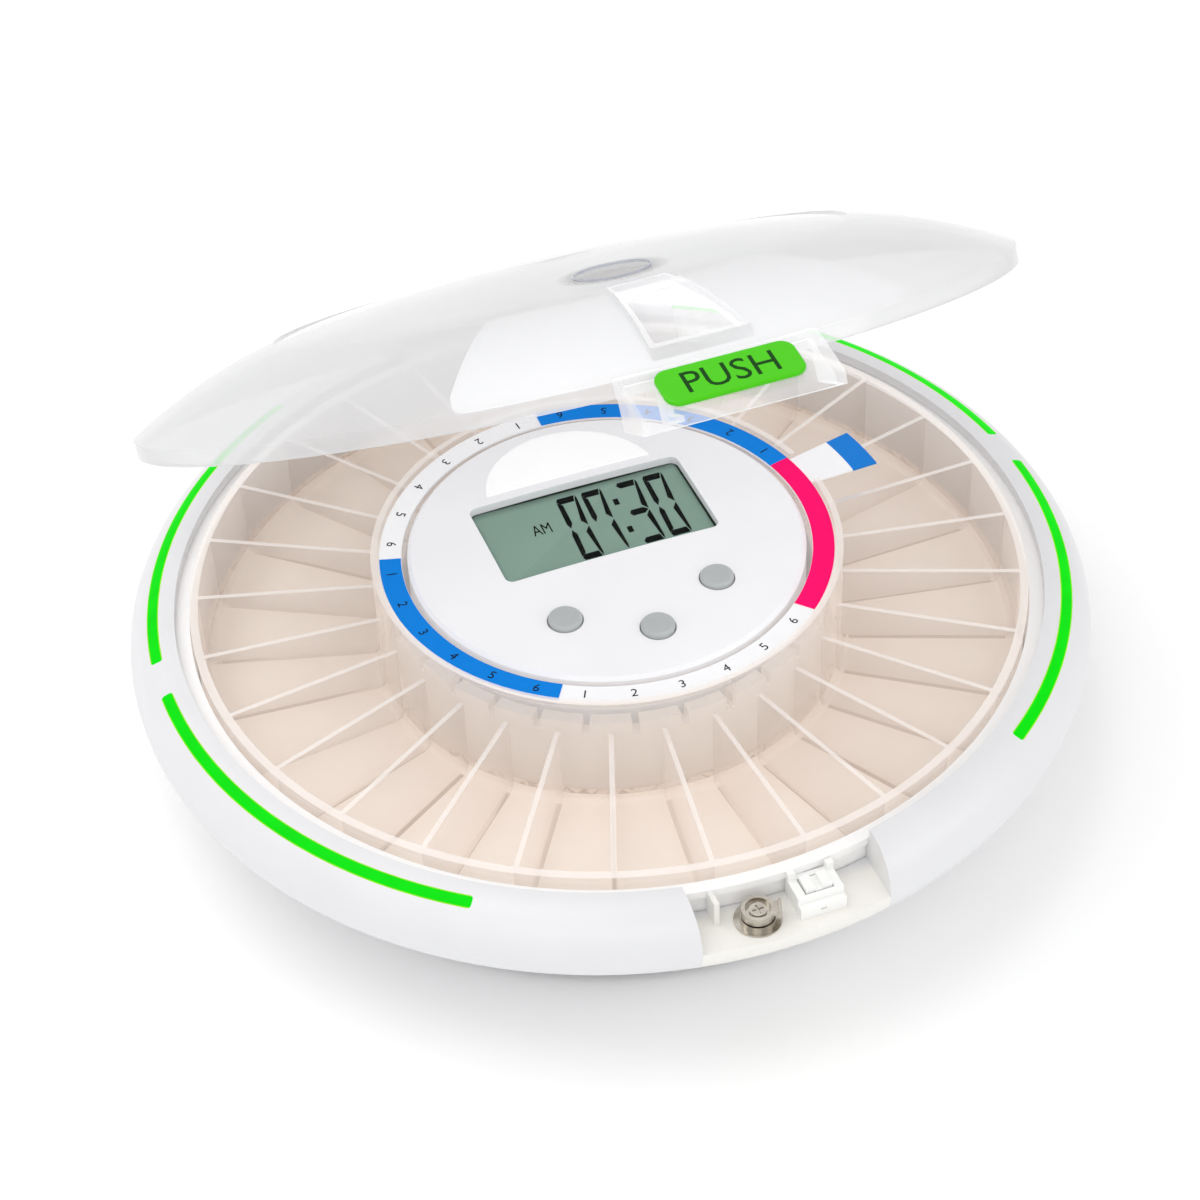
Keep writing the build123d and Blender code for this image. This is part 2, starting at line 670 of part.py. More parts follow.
def make_contacts(side):
    """Row of contact plates at one end of the battery box."""
    solids = []
    y = side * (BOX_L / 2 - CONTACT_T / 2 - 0.05)
    reach = BOX_L / 2 - CONTACT_T - (CELL_L + CELL_NUB_L) / 2 - 0.15
    for x in cell_places():
        plate = Pos(x, y, CELL_Z) * Box(CONTACT_W, CONTACT_T, CONTACT_W)
        place = Pos(x, y - side * (CONTACT_T + reach) / 2, CELL_Z)
        button = place * Rot(90, 0, 0) * Cylinder(CONTACT_R, reach)
        solids.append(plate + button)
    return Compound(children=solids)


def make_battery_door():
    door = block(-DOOR_W / 2, DOOR_W / 2, -DOOR_L / 2, DOOR_L / 2, DOOR_Z, DOOR_Z + DOOR_T)
    round_edge = door.edges().filter_by(Axis.X).group_by(Axis.Y)[-1]
    door = fillet(round_edge, DOOR_T * 0.45)
    for i in range(GRIP_COUNT):
        y = -DOOR_L / 2 + 5 + GRIP_PITCH * i
        door -= block(-8, 8, y, y + GRIP_W, DOOR_Z - 1, DOOR_Z + 0.5)
    return door


# ---------------------------------------------------------------- drive
def gear_outline(teeth, outward_phase):
    """Straight-flanked teeth round a pitch circle; outward_phase is the angle of one tooth's middle."""
    pitch_r = GEAR_MODULE * teeth / 2
    pitch_w = TOOTH_W / pitch_r
    tip_w = TOOTH_TIP_W / (pitch_r + ADDENDUM)
    root_w = TOOTH_ROOT_W / (pitch_r - DEDENDUM)
    points = []
    for i in range(teeth):
        middle = outward_phase + 360.0 * i / teeth
        for radius, width, sign in ((pitch_r - DEDENDUM, root_w, -1), (pitch_r, pitch_w, -1),
                                    (pitch_r + ADDENDUM, tip_w, -1), (pitch_r + ADDENDUM, tip_w, 1),
                                    (pitch_r, pitch_w, 1), (pitch_r - DEDENDUM, root_w, 1)):
            points.append(polar(radius, middle + sign * math.degrees(width / 2))[:2])
    return make_face(Polyline(*points, close=True))


def make_ring_gear():
    plan = gear_outline(GEAR_TEETH, PINION_ANGLE)
    return Pos(0, 0, GEAR_Z0) * extrude(plan, GEAR_H) - disc(RING_IN_R, GEAR_Z0 - 1, GEAR_TOP_Z + 1)


def make_pinion():
    """Motor pinion with its shaft; a gap between teeth faces the ring gear."""
    plan = gear_outline(PINION_TEETH, PINION_ANGLE + 180 + 180.0 / PINION_TEETH)
    gear = Pos(0, 0, GEAR_Z0) * extrude(plan, GEAR_H)
    x, y, _ = polar(PINION_CENTRE_R, PINION_ANGLE)
    boss = disc(PINION_BOSS_R, GEAR_TOP_Z, GEAR_TOP_Z + PINION_BOSS_H)
    return Pos(x, y, 0) * (gear + boss + disc(SHAFT_R, FLOOR_Z + 1.5, GEAR_Z0))


def make_motor():
    """Flat gearbox under the pinion with the motor lying beside it."""
    half_w = MOTOR_W / 2
    gearbox = block(-MOTOR_BACK, MOTOR_REACH, -half_w, half_w, FLOOR_Z, MOTOR_TOP_Z)
    can = Pos(MOTOR_REACH + 1.5, 0, FLOOR_Z + CAN_R + 0.2) * Rot(90, 0, 0) * Cylinder(CAN_R, MOTOR_W - 4)
    saddle = block(MOTOR_REACH - 2, MOTOR_REACH + 2, -half_w + 2, half_w - 2, FLOOR_Z, MOTOR_TOP_Z + 2)
    body = gearbox + saddle + can - disc(SHAFT_R + FIT, FLOOR_Z + 1.2, MOTOR_TOP_Z + 1)
    limit = bowl(WALL + 0.2, FLOOR_Z)
    placed = Rot(0, 0, PINION_ANGLE) * Pos(PINION_CENTRE_R, 0, 0) * body
    return placed & limit


def make_drive_ring():
    """Castellated ring that carries and turns the tray."""
    band_z = RING_TOP_Z - RING_BAND_H
    body = section(
        (RING_IN_R, GEAR_TOP_Z), (RING_OUT_R, GEAR_TOP_Z), (RING_OUT_R, RING_FLANGE_Z),
        (RING_FLANGE_R, RING_FLANGE_Z), (RING_FLANGE_R, TRAY_Z), (RING_OUT_R - RING_STEP, TRAY_Z),
        (RING_OUT_R - RING_STEP, band_z), (RING_OUT_R, band_z + RING_STEP), (RING_OUT_R, RING_TOP_Z),
        (RING_IN_R, RING_TOP_Z),
    )
    solid = lathe(body)
    for i in range(SLOTS):
        angle = TRAY_PHASE + (i + 0.5) * SLOT_ANGLE
        notch = block(RING_IN_R - 1, RING_OUT_R + 1, -NOTCH_W / 2, NOTCH_W / 2,
                      band_z + RING_STEP, RING_TOP_Z + 1)
        solid -= Rot(0, 0, angle) * notch
    return solid


# ---------------------------------------------------------------- tray
def make_tray_floor():
    """Floor of the tray with the coved feet of its two walls."""
    top = TRAY_FLOOR_Z + TRAY_COVE
    outer_cove = CenterArc((TRAY_OUT_WALL_R - TRAY_COVE, top), TRAY_COVE, -90, 90)
    inner_cove = CenterArc((TRAY_IN_WALL_R + TRAY_COVE, top), TRAY_COVE, 180, 90)
    flat = Line((TRAY_IN_WALL_R + TRAY_COVE, TRAY_FLOOR_Z), (TRAY_OUT_WALL_R - TRAY_COVE, TRAY_FLOOR_Z))
    rest = Polyline(
        (TRAY_OUT_WALL_R, top), (TRAY_OUT_R, top), (TRAY_OUT_R, TRAY_Z + TRAY_WALL),
        (TRAY_OUT_R - TRAY_WALL, TRAY_Z), (TRAY_IN_R, TRAY_Z), (TRAY_IN_R, top), (TRAY_IN_WALL_R, top),
    )
    return lathe(profile(inner_cove, flat, outer_cove, rest))


def make_tray_outer_wall():
    """Outer wall of the tray with a bead round its top."""
    low = TRAY_FLOOR_Z + TRAY_COVE
    bead_z = TRAY_TOP_Z - TRAY_BEAD_H
    return lathe(section(
        (TRAY_OUT_WALL_R, low), (TRAY_OUT_R, low), (TRAY_OUT_R, bead_z),
        (TRAY_OUT_R + TRAY_BEAD, bead_z + TRAY_BEAD), (TRAY_OUT_R + TRAY_BEAD, TRAY_TOP_Z),
        (TRAY_OUT_WALL_R, TRAY_TOP_Z),
    ))


def flag_sector(margin, z0, z1):
    middle = TRAY_PHASE + (FLAG_SLOT + 0.5) * SLOT_ANGLE
    half = SLOT_ANGLE / 2 - FLAG_MARGIN + math.degrees(margin / FLAG_R)
    return wedge(LABEL_OUT_R - 0.5, FLAG_R + margin, half, middle, z0, z1)


def make_tray_collar():
    """Inner wall of the tray, rising to the shelf and lip round the dosage ring."""
    shelf_under = SHELF_Z - SHELF_T
    low = TRAY_FLOOR_Z + TRAY_COVE
    collar = lathe(section(
        (TRAY_IN_R, low), (TRAY_IN_WALL_R, low), (TRAY_IN_WALL_R, COLLAR_TOP_Z),
        (TRAY_IN_R, COLLAR_TOP_Z), (TRAY_IN_R, SHELF_Z), (LABEL_IN_R, SHELF_Z),
        (LABEL_IN_R, shelf_under), (TRAY_IN_R, shelf_under),
    ))
    collar -= flag_sector(0.4, SHELF_Z - GAP, COLLAR_TOP_Z + 1)
    key_w = NOTCH_W - 2 * GAP
    key_z = RING_TOP_Z - RING_BAND_H / 2
    for i in range(KEY_COUNT):
        slot = round(i * SLOTS / KEY_COUNT) + 0.5
        key = block(RING_IN_R + 0.8, TRAY_IN_R + 0.3, -key_w / 2, key_w / 2, key_z, shelf_under + 0.2)
        collar += Rot(0, 0, TRAY_PHASE + slot * SLOT_ANGLE) * key
    return collar


def make_dividers():
    """Radial walls between the compartments."""
    floor = make_tray_floor()
    plate = block(TRAY_IN_WALL_R + 0.02, TRAY_OUT_WALL_R - 0.02, -DIVIDER_T / 2, DIVIDER_T / 2,
                  TRAY_FLOOR_Z, TRAY_TOP_Z)
    plate -= floor
    solids = [Rot(0, 0, TRAY_PHASE + i * SLOT_ANGLE) * plate for i in range(SLOTS)]
    return Compound(children=solids)


def make_dosage_ring():
    """Printed ring with a flag over one compartment."""
    flat = ring(LABEL_OUT_R, LABEL_IN_R, SHELF_Z, SHELF_Z + LABEL_T)
    return flat + flag_sector(0.0, SHELF_Z, SHELF_Z + LABEL_T)


def make_band(first_slot, slots):
    """Coloured band printed on the dosage ring."""
    low = SHELF_Z + LABEL_T
    strip = section(
        (LABEL_IN_R + BAND_INSET, low), (LABEL_OUT_R - BAND_INSET, low),
        (LABEL_OUT_R - BAND_INSET, low + BAND_T), (LABEL_IN_R + BAND_INSET, low + BAND_T),
    )
    return lathe(strip, slots * SLOT_ANGLE, TRAY_PHASE + first_slot * SLOT_ANGLE)


# ---------------------------------------------------------------- lock and latch
def make_lock_body():
    """Round lock barrel held in the pocket floor, with a thin bezel and a nose under the cam."""
    barrel = disc(LOCK_R, LOCK_BOTTOM_Z, POCKET_FLOOR_Z, LOCK_X, LOCK_Y)
    barrel += disc(LOCK_BEZEL_R, POCKET_FLOOR_Z, POCKET_FLOOR_Z + LOCK_BEZEL_T, LOCK_X, LOCK_Y)
    barrel += disc(LOCK_NOSE_R, POCKET_FLOOR_Z, CAM_Z - GAP, LOCK_X, LOCK_Y)
    return barrel - disc(LOCK_PLUG_R + FIT, LOCK_BOTTOM_Z - 1, CAM_Z + 1, LOCK_X, LOCK_Y)


def make_lock_plug():
    plug = disc(LOCK_PLUG_R, LOCK_BOTTOM_Z + PLUG_INSET, CAM_Z)
    keyway = block(-KEYWAY_W / 2, KEYWAY_W / 2, -KEYWAY_L / 2, KEYWAY_L / 2, LOCK_BOTTOM_Z - 1,
                   LOCK_BOTTOM_Z + KEYWAY_DEPTH)
    return Pos(LOCK_X, LOCK_Y, 0) * (plug - keyway)


def make_lock_cam():
    """Cup with a plate round its top, whose tongue ends in an upturned hook."""
    top = CAM_Z + CAM_CUP_H
    plate_z = top - CAM_PLATE_T
    half_w = CAM_W / 2
    cup = disc(CAM_CUP_R, CAM_Z, top)
    tongue = block(0, CAM_REACH, -half_w, half_w, plate_z, top)
    hook = block(CAM_REACH - CAM_HOOK_T, CAM_REACH, -half_w, half_w, plate_z, top + CAM_HOOK_H)
    hollow = disc(CAM_CUP_R - CAM_CUP_T, CAM_Z + CAM_FLOOR_T, top + 1)
    return Pos(LOCK_X, LOCK_Y, 0) * Rot(0, 0, CAM_REST) * (cup + tongue + hook - hollow)


def make_cam_screw():
    low = CAM_Z + CAM_FLOOR_T
    head = disc(CAM_SCREW_R, low, low + CAM_SCREW_T)
    for turn in (0, 90):
        slot = Box(CAM_SLOT_L, CAM_SLOT_W, CAM_SCREW_T)
        head -= Pos(0, 0, low + CAM_SCREW_T) * Rot(0, 0, turn) * slot
    return Pos(LOCK_X, LOCK_Y, 0) * head


def latch_well(margin, z0, z1):
    """Upright well in the latch's housing, drawn in by margin for what slides in it."""
    half_w = LATCH_W / 2 - LATCH_WALL - margin
    front = -LATCH_D / 2 + LATCH_STEP_D + LATCH_LIP + margin
    back = LATCH_D / 2 - LATCH_POST_D - margin
    return block(-half_w, half_w, front, back, z0, z1)


def make_latch_body():
    """Push-push latch housing with a well for its plunger."""
    half_w = LATCH_W / 2
    half_d = LATCH_D / 2
    body = block(-half_w, half_w, -half_d, half_d, POCKET_FLOOR_Z, LATCH_TOP_Z)
    step_y = -half_d + LATCH_STEP_D
    body -= block(-half_w - 1, half_w + 1, -half_d - 1, step_y, LATCH_TOP_Z - LATCH_STEP_H, LATCH_TOP_Z + 1)
    body -= latch_well(0, POCKET_FLOOR_Z + LATCH_FLOOR, LATCH_TOP_Z + 1)
    for x in (-half_w, half_w - LATCH_POST_W):
        body += block(x, x + LATCH_POST_W, half_d - LATCH_POST_D, half_d,
                      LATCH_TOP_Z, LATCH_TOP_Z + LATCH_POST_H)
    slot_z = POCKET_FLOOR_Z + LATCH_SLOT_RISE
    slot = block(-LATCH_SLOT_W / 2, LATCH_SLOT_W / 2, -half_d - 1, -half_d + LATCH_SLOT_DEPTH,
                 slot_z, slot_z + LATCH_SLOT_H)
    return Pos(LATCH_X, LATCH_Y, 0) * (body - slot)


def make_latch_plunger():
    """Sliding jaw that the closed lid presses."""
    low = POCKET_FLOOR_Z + LATCH_FLOOR + PLUNGER_TRAVEL + GAP
    jaw = latch_well(GAP, low, PLUNGER_TOP_Z)
    jaw -= block(-PLUNGER_SLOT / 2, PLUNGER_SLOT / 2, -LATCH_D, LATCH_D, LATCH_TOP_Z, PLUNGER_TOP_Z + 1)
    return Pos(LATCH_X, LATCH_Y, 0) * jaw


# ---------------------------------------------------------------- lid
def dome_arcs():
    """Where the crown arc ends and the side arc's centre and the crown's top lie, all as (radius, height)."""
    edge = math.radians(EDGE_ANGLE)
    centre_r = LID_R - SIDE_R * math.sin(edge)
    centre_z = SKIRT_TOP_Z - SIDE_R * math.cos(edge)
    join = math.asin(centre_r / (CROWN_R - SIDE_R))
    crown_z = centre_z - (CROWN_R - SIDE_R) * math.cos(join)
    return centre_r, centre_z, crown_z, math.degrees(join)


def dome_z(radius, drop=0.0):
    """Height of the dome's outer face at a radius, or of a face drop below it."""
    centre_r, centre_z, crown_z, join = dome_arcs()
    if radius < (CROWN_R - drop) * math.sin(math.radians(join)):
        return crown_z + math.sqrt((CROWN_R - drop) ** 2 - radius**2)
    return centre_z + math.sqrt((SIDE_R - drop) ** 2 - (radius - centre_r) ** 2)


def arc_span(centre, radius, first_r, last_r):
    """Part of a circle's upper side between two distances from the axis, outer one first."""
    start = math.degrees(math.acos((first_r - centre[0]) / radius))
    end = math.degrees(math.acos((last_r - centre[0]) / radius))
    return CenterArc(centre, radius, start, end - start)


def dome_curves(drop, outer_r, inner_r=0.0):
    """Arcs of the dome's section from outer_r to inner_r, drop below its outer face."""
    centre_r, centre_z, crown_z, join = dome_arcs()
    join_r = (CROWN_R - drop) * math.sin(math.radians(join))
    curves = []
    if outer_r > join_r:
        curves.append(arc_span((centre_r, centre_z), SIDE_R - drop, outer_r, max(join_r, inner_r)))
    if inner_r < join_r:
        curves.append(arc_span((0, crown_z), CROWN_R - drop, min(join_r, outer_r), inner_r))
    return curves


def dome_solid():
    """Outer form of the lid, filled down to the skirt's lower edge, with the fine round step."""
    low = RIDGE_Z + GAP
    inner_r = STEP_R - STEP_H
    step = Line((STEP_R, dome_z(STEP_R)), (inner_r, dome_z(inner_r, STEP_H)))
    rest = Polyline((0, dome_z(0, STEP_H)), (0, low), (LID_R, low), (LID_R, SKIRT_TOP_Z))
    outside = dome_curves(0, LID_R, STEP_R)
    inside = dome_curves(STEP_H, inner_r)
    return lathe(profile(*outside, step, *inside, rest))


def dome_hollow(extra=0.0):
    """Space under the dome, drawn in by extra."""
    thickness = LID_T + extra
    inner_r = LID_R - thickness
    low = RIDGE_Z - 5
    rest = Polyline((0, dome_z(0, thickness)), (0, low), (inner_r, low), (inner_r, dome_z(inner_r, thickness)))
    return lathe(profile(*dome_curves(thickness, inner_r), rest))


def chute_form(grow, z0):
    half = CHUTE_HALF + math.degrees(grow / CHUTE_OUT_R)
    return wedge(CHUTE_IN_R - grow, CHUTE_OUT_R + grow, half, -90.0, z0, 80.0)


def opened(shape):
    """Turn a lid piece from its closed place to the rest pose."""
    return Pos(0, HINGE_Y, HINGE_Z) * Rot(-LID_OPEN, 0, 0) * Pos(0, -HINGE_Y, -HINGE_Z) * shape


def make_lid_dome():
    outer = dome_solid()
    shell = outer - dome_hollow()
    cup_top = dome_z(abs(CUP_Y))
    cup = disc(CUP_R, cup_top - CUP_DEPTH, cup_top + 5, 0, CUP_Y) & outer
    shell = shell + cup - disc(CUP_R - CUP_WALL, cup_top - CUP_DEPTH + CUP_WALL, cup_top + 5, 0, CUP_Y)
    shell -= chute_form(CHUTE_WALL + 0.1, CHUTE_Z - 1)
    web = block(-KNUCKLE_HALF, KNUCKLE_HALF, LID_R - 1.8, HINGE_Y, HINGE_Z + 3.0 - WEB_H, HINGE_Z + 3.0)
    knuckle = along_x(KNUCKLE_R, -KNUCKLE_HALF, KNUCKLE_HALF, HINGE_Y, HINGE_Z)
    shell = shell + web + knuckle
    shell -= along_x(HINGE_PIN_R + FIT, -KNUCKLE_HALF - 1, KNUCKLE_HALF + 1, HINGE_Y, HINGE_Z)
    return shell


def make_lid_plate():
    """White sector under the dome that covers the compartments beside the opening."""
    band = dome_hollow(0.1) - dome_hollow(0.1 + PLATE_T)
    plan = wedge(PLATE_IN_R, PLATE_OUT_R, PLATE_HALF, -90.0, SKIRT_TOP_Z - 3, 80.0)
    corners = plan.edges().filter_by(Axis.Z)
    plan = fillet(corners, PLATE_CORNER)
    return (band & plan) - chute_form(CHUTE_WALL + 0.1, 0)


def make_lid_chute():
    """Walls of the dispensing opening, down to just above the tray."""
    tube = (chute_form(CHUTE_WALL, CHUTE_Z) - chute_form(0.0, CHUTE_Z - 1))
    return tube & dome_solid()


def tab_slope():
    """Start, end and tilt of the tab's flat top."""
    start = (-LID_R - 0.4, TAB_TOP_Z)
    end = (-TAB_REACH + 0.4, TAB_TOP_Z - TAB_FALL)
    tilt = math.degrees(math.atan2(start[1] - end[1], start[0] - end[0]))
    return start, end, tilt


def tab_form(inset, half, low):
    start, end, tilt = tab_slope()
    across = inset / math.cos(math.radians(tilt))
    front = -TAB_REACH + inset
    drop = math.tan(math.radians(tilt))
    front_z = start[1] - across - (start[0] - front) * drop
    root = -LID_R + TAB_ROOT
    top_z = start[1] - across
    points = [(root, top_z), (start[0], top_z), (front, front_z), (front, low), (root, low)]
    return side_cut(points, -half, half)


def make_lid_tab():
    """Front flap over the lock pocket, with the catch for the cam and the striker for the latch."""
    shell = tab_form(0, TAB_HALF, TAB_BOTTOM_Z) - tab_form(TAB_WALL, TAB_HALF - TAB_WALL, TAB_BOTTOM_Z - 1)
    foot_top = CAM_Z + CAM_CUP_H - CAM_PLATE_T - GAP
    foot_z = foot_top - CATCH_T
    y0 = LOCK_Y + CATCH_SHIFT - CATCH_D / 2
    y1 = y0 + CATCH_D
    left = LOCK_X - CATCH_REACH
    stem_top = TAB_TOP_Z - TAB_WALL
    stem = block(left, left + STEM_T, y0, y1, foot_z, stem_top)
    foot = block(left, LOCK_X - CAM_CUP_R - GAP, y0, y1, foot_z, foot_top)
    half_w = STRIKER_W / 2
    striker_y = LATCH_Y - STRIKER_SHIFT
    striker = block(LATCH_X - half_w, LATCH_X + half_w, striker_y, striker_y + STRIKER_D,
                    PLUNGER_TOP_Z + GAP, stem_top)
    inside = tab_form(0.5, TAB_HALF, 0)
    shell = shell + ((stem + foot + striker) & inside)
    shell -= disc(LID_R, SKIRT_TOP_Z - 30, SKIRT_TOP_Z + 10)
    shell -= disc(RIM_INNER_R + 0.3, 0, RIDGE_Z + GAP)
    return shell


def make_push_label():
    """Raised soft label on the tab's slope."""
    start, end, tilt = tab_slope()
    middle_y = (start[0] - TAB_REACH) / 2
    middle_z = start[1] - (start[0] - middle_y) * math.tan(math.radians(tilt))
    plate = extrude(RectangleRounded(PUSH_W, PUSH_H, PUSH_CORNER), PUSH_RAISE)
    top = plate.faces().sort_by(Axis.Z)[-1].edges()
    plate = fillet(top, PUSH_ROUND)
    return Pos(0, middle_y, middle_z) * Rot(tilt, 0, 0) * plate


def make_hinge_pin():
    half = HINGE_HALF - 0.3
    return along_x(HINGE_PIN_R, -half, half, HINGE_Y, HINGE_Z)


# ---------------------------------------------------------------- build
def build_base():
    save("base_housing", make_base_housing())
    save("tray_well", make_well_floor())
    save("well_wall", make_well_wall())
    for name, span in LIGHT_SPANS.items():
        save(name, light_bar(span, LIGHT_FIT, LIGHT_DEPTH - LIGHT_FIT))
    for i, angle in enumerate((45, 135, 225, 315)):
        save(f"foot_{i + 1}", make_foot(angle))
    for i, angle in enumerate((0, 90, 180, 270)):
        save(f"case_screw_{i + 1}", make_case_screw(angle))
    save("power_jack", make_power_jack())
    save("hinge_pin", make_hinge_pin())
    save("drive_motor", make_motor())
    save("lock_barrel", make_lock_body())
    save("latch_housing", make_latch_body())


def build_hub():
    save("hub_column", make_column())
    save("hub_cap", make_hub_cap())
    save("lcd_glass", make_lcd_glass())
    save("lcd_module", make_lcd_module())
    save("hub_sticker", make_sticker())
    save("main_board", make_board())
    save("tact_switches", make_switches())
    save("buzzer", make_buzzer())
    for name, place in BUTTONS.items():
        save(name, make_button(place))


def build_power():
    save("battery_box", make_battery_box())
    for i, x in enumerate(cell_places()):
        save(f"battery_{i + 1}", make_cell(x, i % 2 == 1))
    save("contacts_front", make_contacts(-1))
    save("contacts_rear", make_contacts(1))
    save("battery_door", make_battery_door())


def build_rotor():
    save("drive_pinion", make_pinion())
    save("ring_gear", make_ring_gear())
    save("drive_ring", make_drive_ring())
    save("tray_floor", make_tray_floor())
    save("tray_outer_wall", make_tray_outer_wall())
    save("tray_collar", make_tray_collar())
    save("tray_dividers", make_dividers())
    save("dosage_ring", make_dosage_ring())
    blue_rear = FLAG_SLOT + 1
    blue_left = blue_rear + 2 * BLUE_SLOTS
    save("band_blue_rear", make_band(blue_rear, BLUE_SLOTS))
    save("band_blue_left", make_band(blue_left, BLUE_SLOTS))
    save("band_pink", make_band(FLAG_SLOT + 1 - PINK_SLOTS, PINK_SLOTS))


def build_moving_small():
    save("lock_plug", make_lock_plug())
    save("lock_cam", make_lock_cam())
    save("cam_screw", make_cam_screw())
    save("latch_plunger", make_latch_plunger())


def build_lid():
    save("lid_dome", opened(make_lid_dome()))
    save("lid_plate", opened(make_lid_plate()))
    save("lid_chute", opened(make_lid_chute()))
    save("lid_tab", opened(make_lid_tab()))
    save("push_label", opened(make_push_label()))


build_base()
build_hub()
build_power()
build_rotor()
build_moving_small()
build_lid()
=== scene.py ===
"""Round table-top pill dispenser: finishes, printing and display laid over its engineering model."""

import json
import math

import bmesh
import bpy
from bpy.props import FloatProperty, FloatVectorProperty, PointerProperty
from bpy.types import Operator, Panel, PropertyGroup
from mathutils import Euler, Matrix, Vector


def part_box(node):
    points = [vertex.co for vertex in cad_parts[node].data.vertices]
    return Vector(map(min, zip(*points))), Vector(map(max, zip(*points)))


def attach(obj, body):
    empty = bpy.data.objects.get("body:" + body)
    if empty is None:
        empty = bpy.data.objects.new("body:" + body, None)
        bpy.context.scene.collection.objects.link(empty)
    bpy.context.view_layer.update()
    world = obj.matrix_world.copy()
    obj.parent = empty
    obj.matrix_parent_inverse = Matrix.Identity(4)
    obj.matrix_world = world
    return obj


bl_info = {
    "name": "Pill Dispenser",
    "version": (1, 0, 0),
    "blender": (4, 5, 0),
    "location": "View3D > Sidebar > Dispenser",
    "description": "Finishes, printing and display of a round table-top pill dispenser",
    "category": "Object",
}

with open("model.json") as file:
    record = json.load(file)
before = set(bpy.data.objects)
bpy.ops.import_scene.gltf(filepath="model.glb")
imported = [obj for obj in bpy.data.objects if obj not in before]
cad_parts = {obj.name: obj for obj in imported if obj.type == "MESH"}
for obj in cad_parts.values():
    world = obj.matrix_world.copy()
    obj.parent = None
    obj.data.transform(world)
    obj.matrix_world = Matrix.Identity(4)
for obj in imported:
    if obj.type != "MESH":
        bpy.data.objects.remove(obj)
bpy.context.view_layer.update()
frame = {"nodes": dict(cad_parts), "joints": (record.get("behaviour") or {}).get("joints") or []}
NODES = frame["nodes"]

MM = 0.001
SLOTS = 29
SLOT_ANGLE = 360.0 / SLOTS
TRAY_PHASE = 1.6                # angle of the tray's first divider
NUMBERED_SLOTS = 24             # slots 1 to 24 carry numbers, the others are home and spare
DOSES_A_GROUP = 6
PRINT_T = 0.03 * MM             # thickness of a layer of ink
SENSOR = 36.0                   # width of the camera's sensor, in millimetres
SPECULAR = "Specular IOR Level"
GRAIN_LOW, GRAIN_HIGH = 0.3, 0.7        # range that most of a noise lies in
EDGE_FALL = 3.0                 # how fast haze and tone change towards the edges of clear plastic
SHINE_FALL = 5.0                # how fast the edge shine does
TINT_FALL = 2.0                 # how fast the tint deepens
FACE_TINT, EDGE_TINT = 0.12, 0.36       # share of its colour that clear plastic gives to passing light
FULLEST = 0.97                  # clear plastic never gets fuller than this
FAINT_SHINE = 0.05              # specular level of surfaces that should hardly shine
CELLS = 4
CORNERS = 4                     # feet and case screws


# ---------------------------------------------------------------- values a user may change

def tone(name, description, red, green, blue):
    """Colour property given in display values from 0 to 255."""
    return FloatVectorProperty(
        name=name, description=description, subtype="COLOR", size=3, min=0.0, max=1.0,
        default=[linear(value / 255.0) for value in (red, green, blue)],
    )


def linear(value):
    """Display value to scene-linear value."""
    return value / 12.92 if value <= 0.04045 else ((value + 0.055) / 1.055) ** 2.4


def length(name, description, millimetres):
    return FloatProperty(name=name, description=description, default=millimetres * MM, min=0.0, unit="LENGTH")


class DispenserColours(PropertyGroup):
    """Colours of the mouldings, prints and metal parts."""

    housing: tone("Housing", "Satin white of the bowl", 227, 227, 229)
    # Painted light: the hub is given a lighter white than the bowl to make up for the lid's shade on it.
    hub: tone("Hub", "Satin white of the hub's cap", 244, 244, 247)
    # Painted shade: this warm white is laid inside the lock pocket, where shade falls in the recess.
    shade: tone("Pocket", "Warm white inside the lock pocket", 239, 237, 231)
    well: tone("Well", "White of the well under the tray", 246, 245, 244)
    tray: tone("Tray", "Tint of the clear tray", 253, 246, 241)
    tray_floor: tone("Tray floor", "Warm white of the tray's floor", 250, 239, 229)
    ring: tone("Drive ring", "Off-white of the castellated drive ring", 243, 238, 233)
    lid: tone("Lid", "Milky tint of the clear lid", 228, 228, 229)
    # Painted reflection: this cool grey stands for the dark glints reflected in the finger cup's polished
    # edges.
    glint: tone("Cup edges", "Cool grey of the finger cup's polished edges", 206, 210, 220)
    plate: tone("Lid plate", "White plate beside the dispensing opening", 252, 252, 253)
    sticker: tone("Hub label", "White of the blank label on the hub", 253, 253, 253)
    label: tone("Dosage ring", "White of the printed ring", 250, 250, 252)
    blue: tone("Ring blue", "Blue bands of the dosage ring", 2, 124, 216)
    pink: tone("Ring pink", "Pink band of the dosage ring", 248, 0, 106)
    ink: tone("Ink", "Black of the printed numbers", 20, 20, 24)
    light: tone("Light bars", "Green of the lit bars", 6, 228, 14)
    light_edge: tone("Light bar edge", "Paler green at the edges of the lit bars", 178, 236, 60)
    push: tone("Push label", "Green of the raised label on the tab", 70, 192, 0)
    push_ink: tone("Push lettering", "Dark green lettering of the raised label", 18, 66, 14)
    lcd: tone("Display", "Grey-green of the display", 134, 163, 149)
    keys: tone("Keys", "Grey of the three keys", 184, 188, 188)
    nickel: tone("Nickel", "Plated lock, cam and screws", 202, 196, 186)
    latch: tone("Latch", "White of the push latch", 247, 247, 245)
    rubber: tone("Feet", "Grey rubber of the feet", 58, 58, 60)


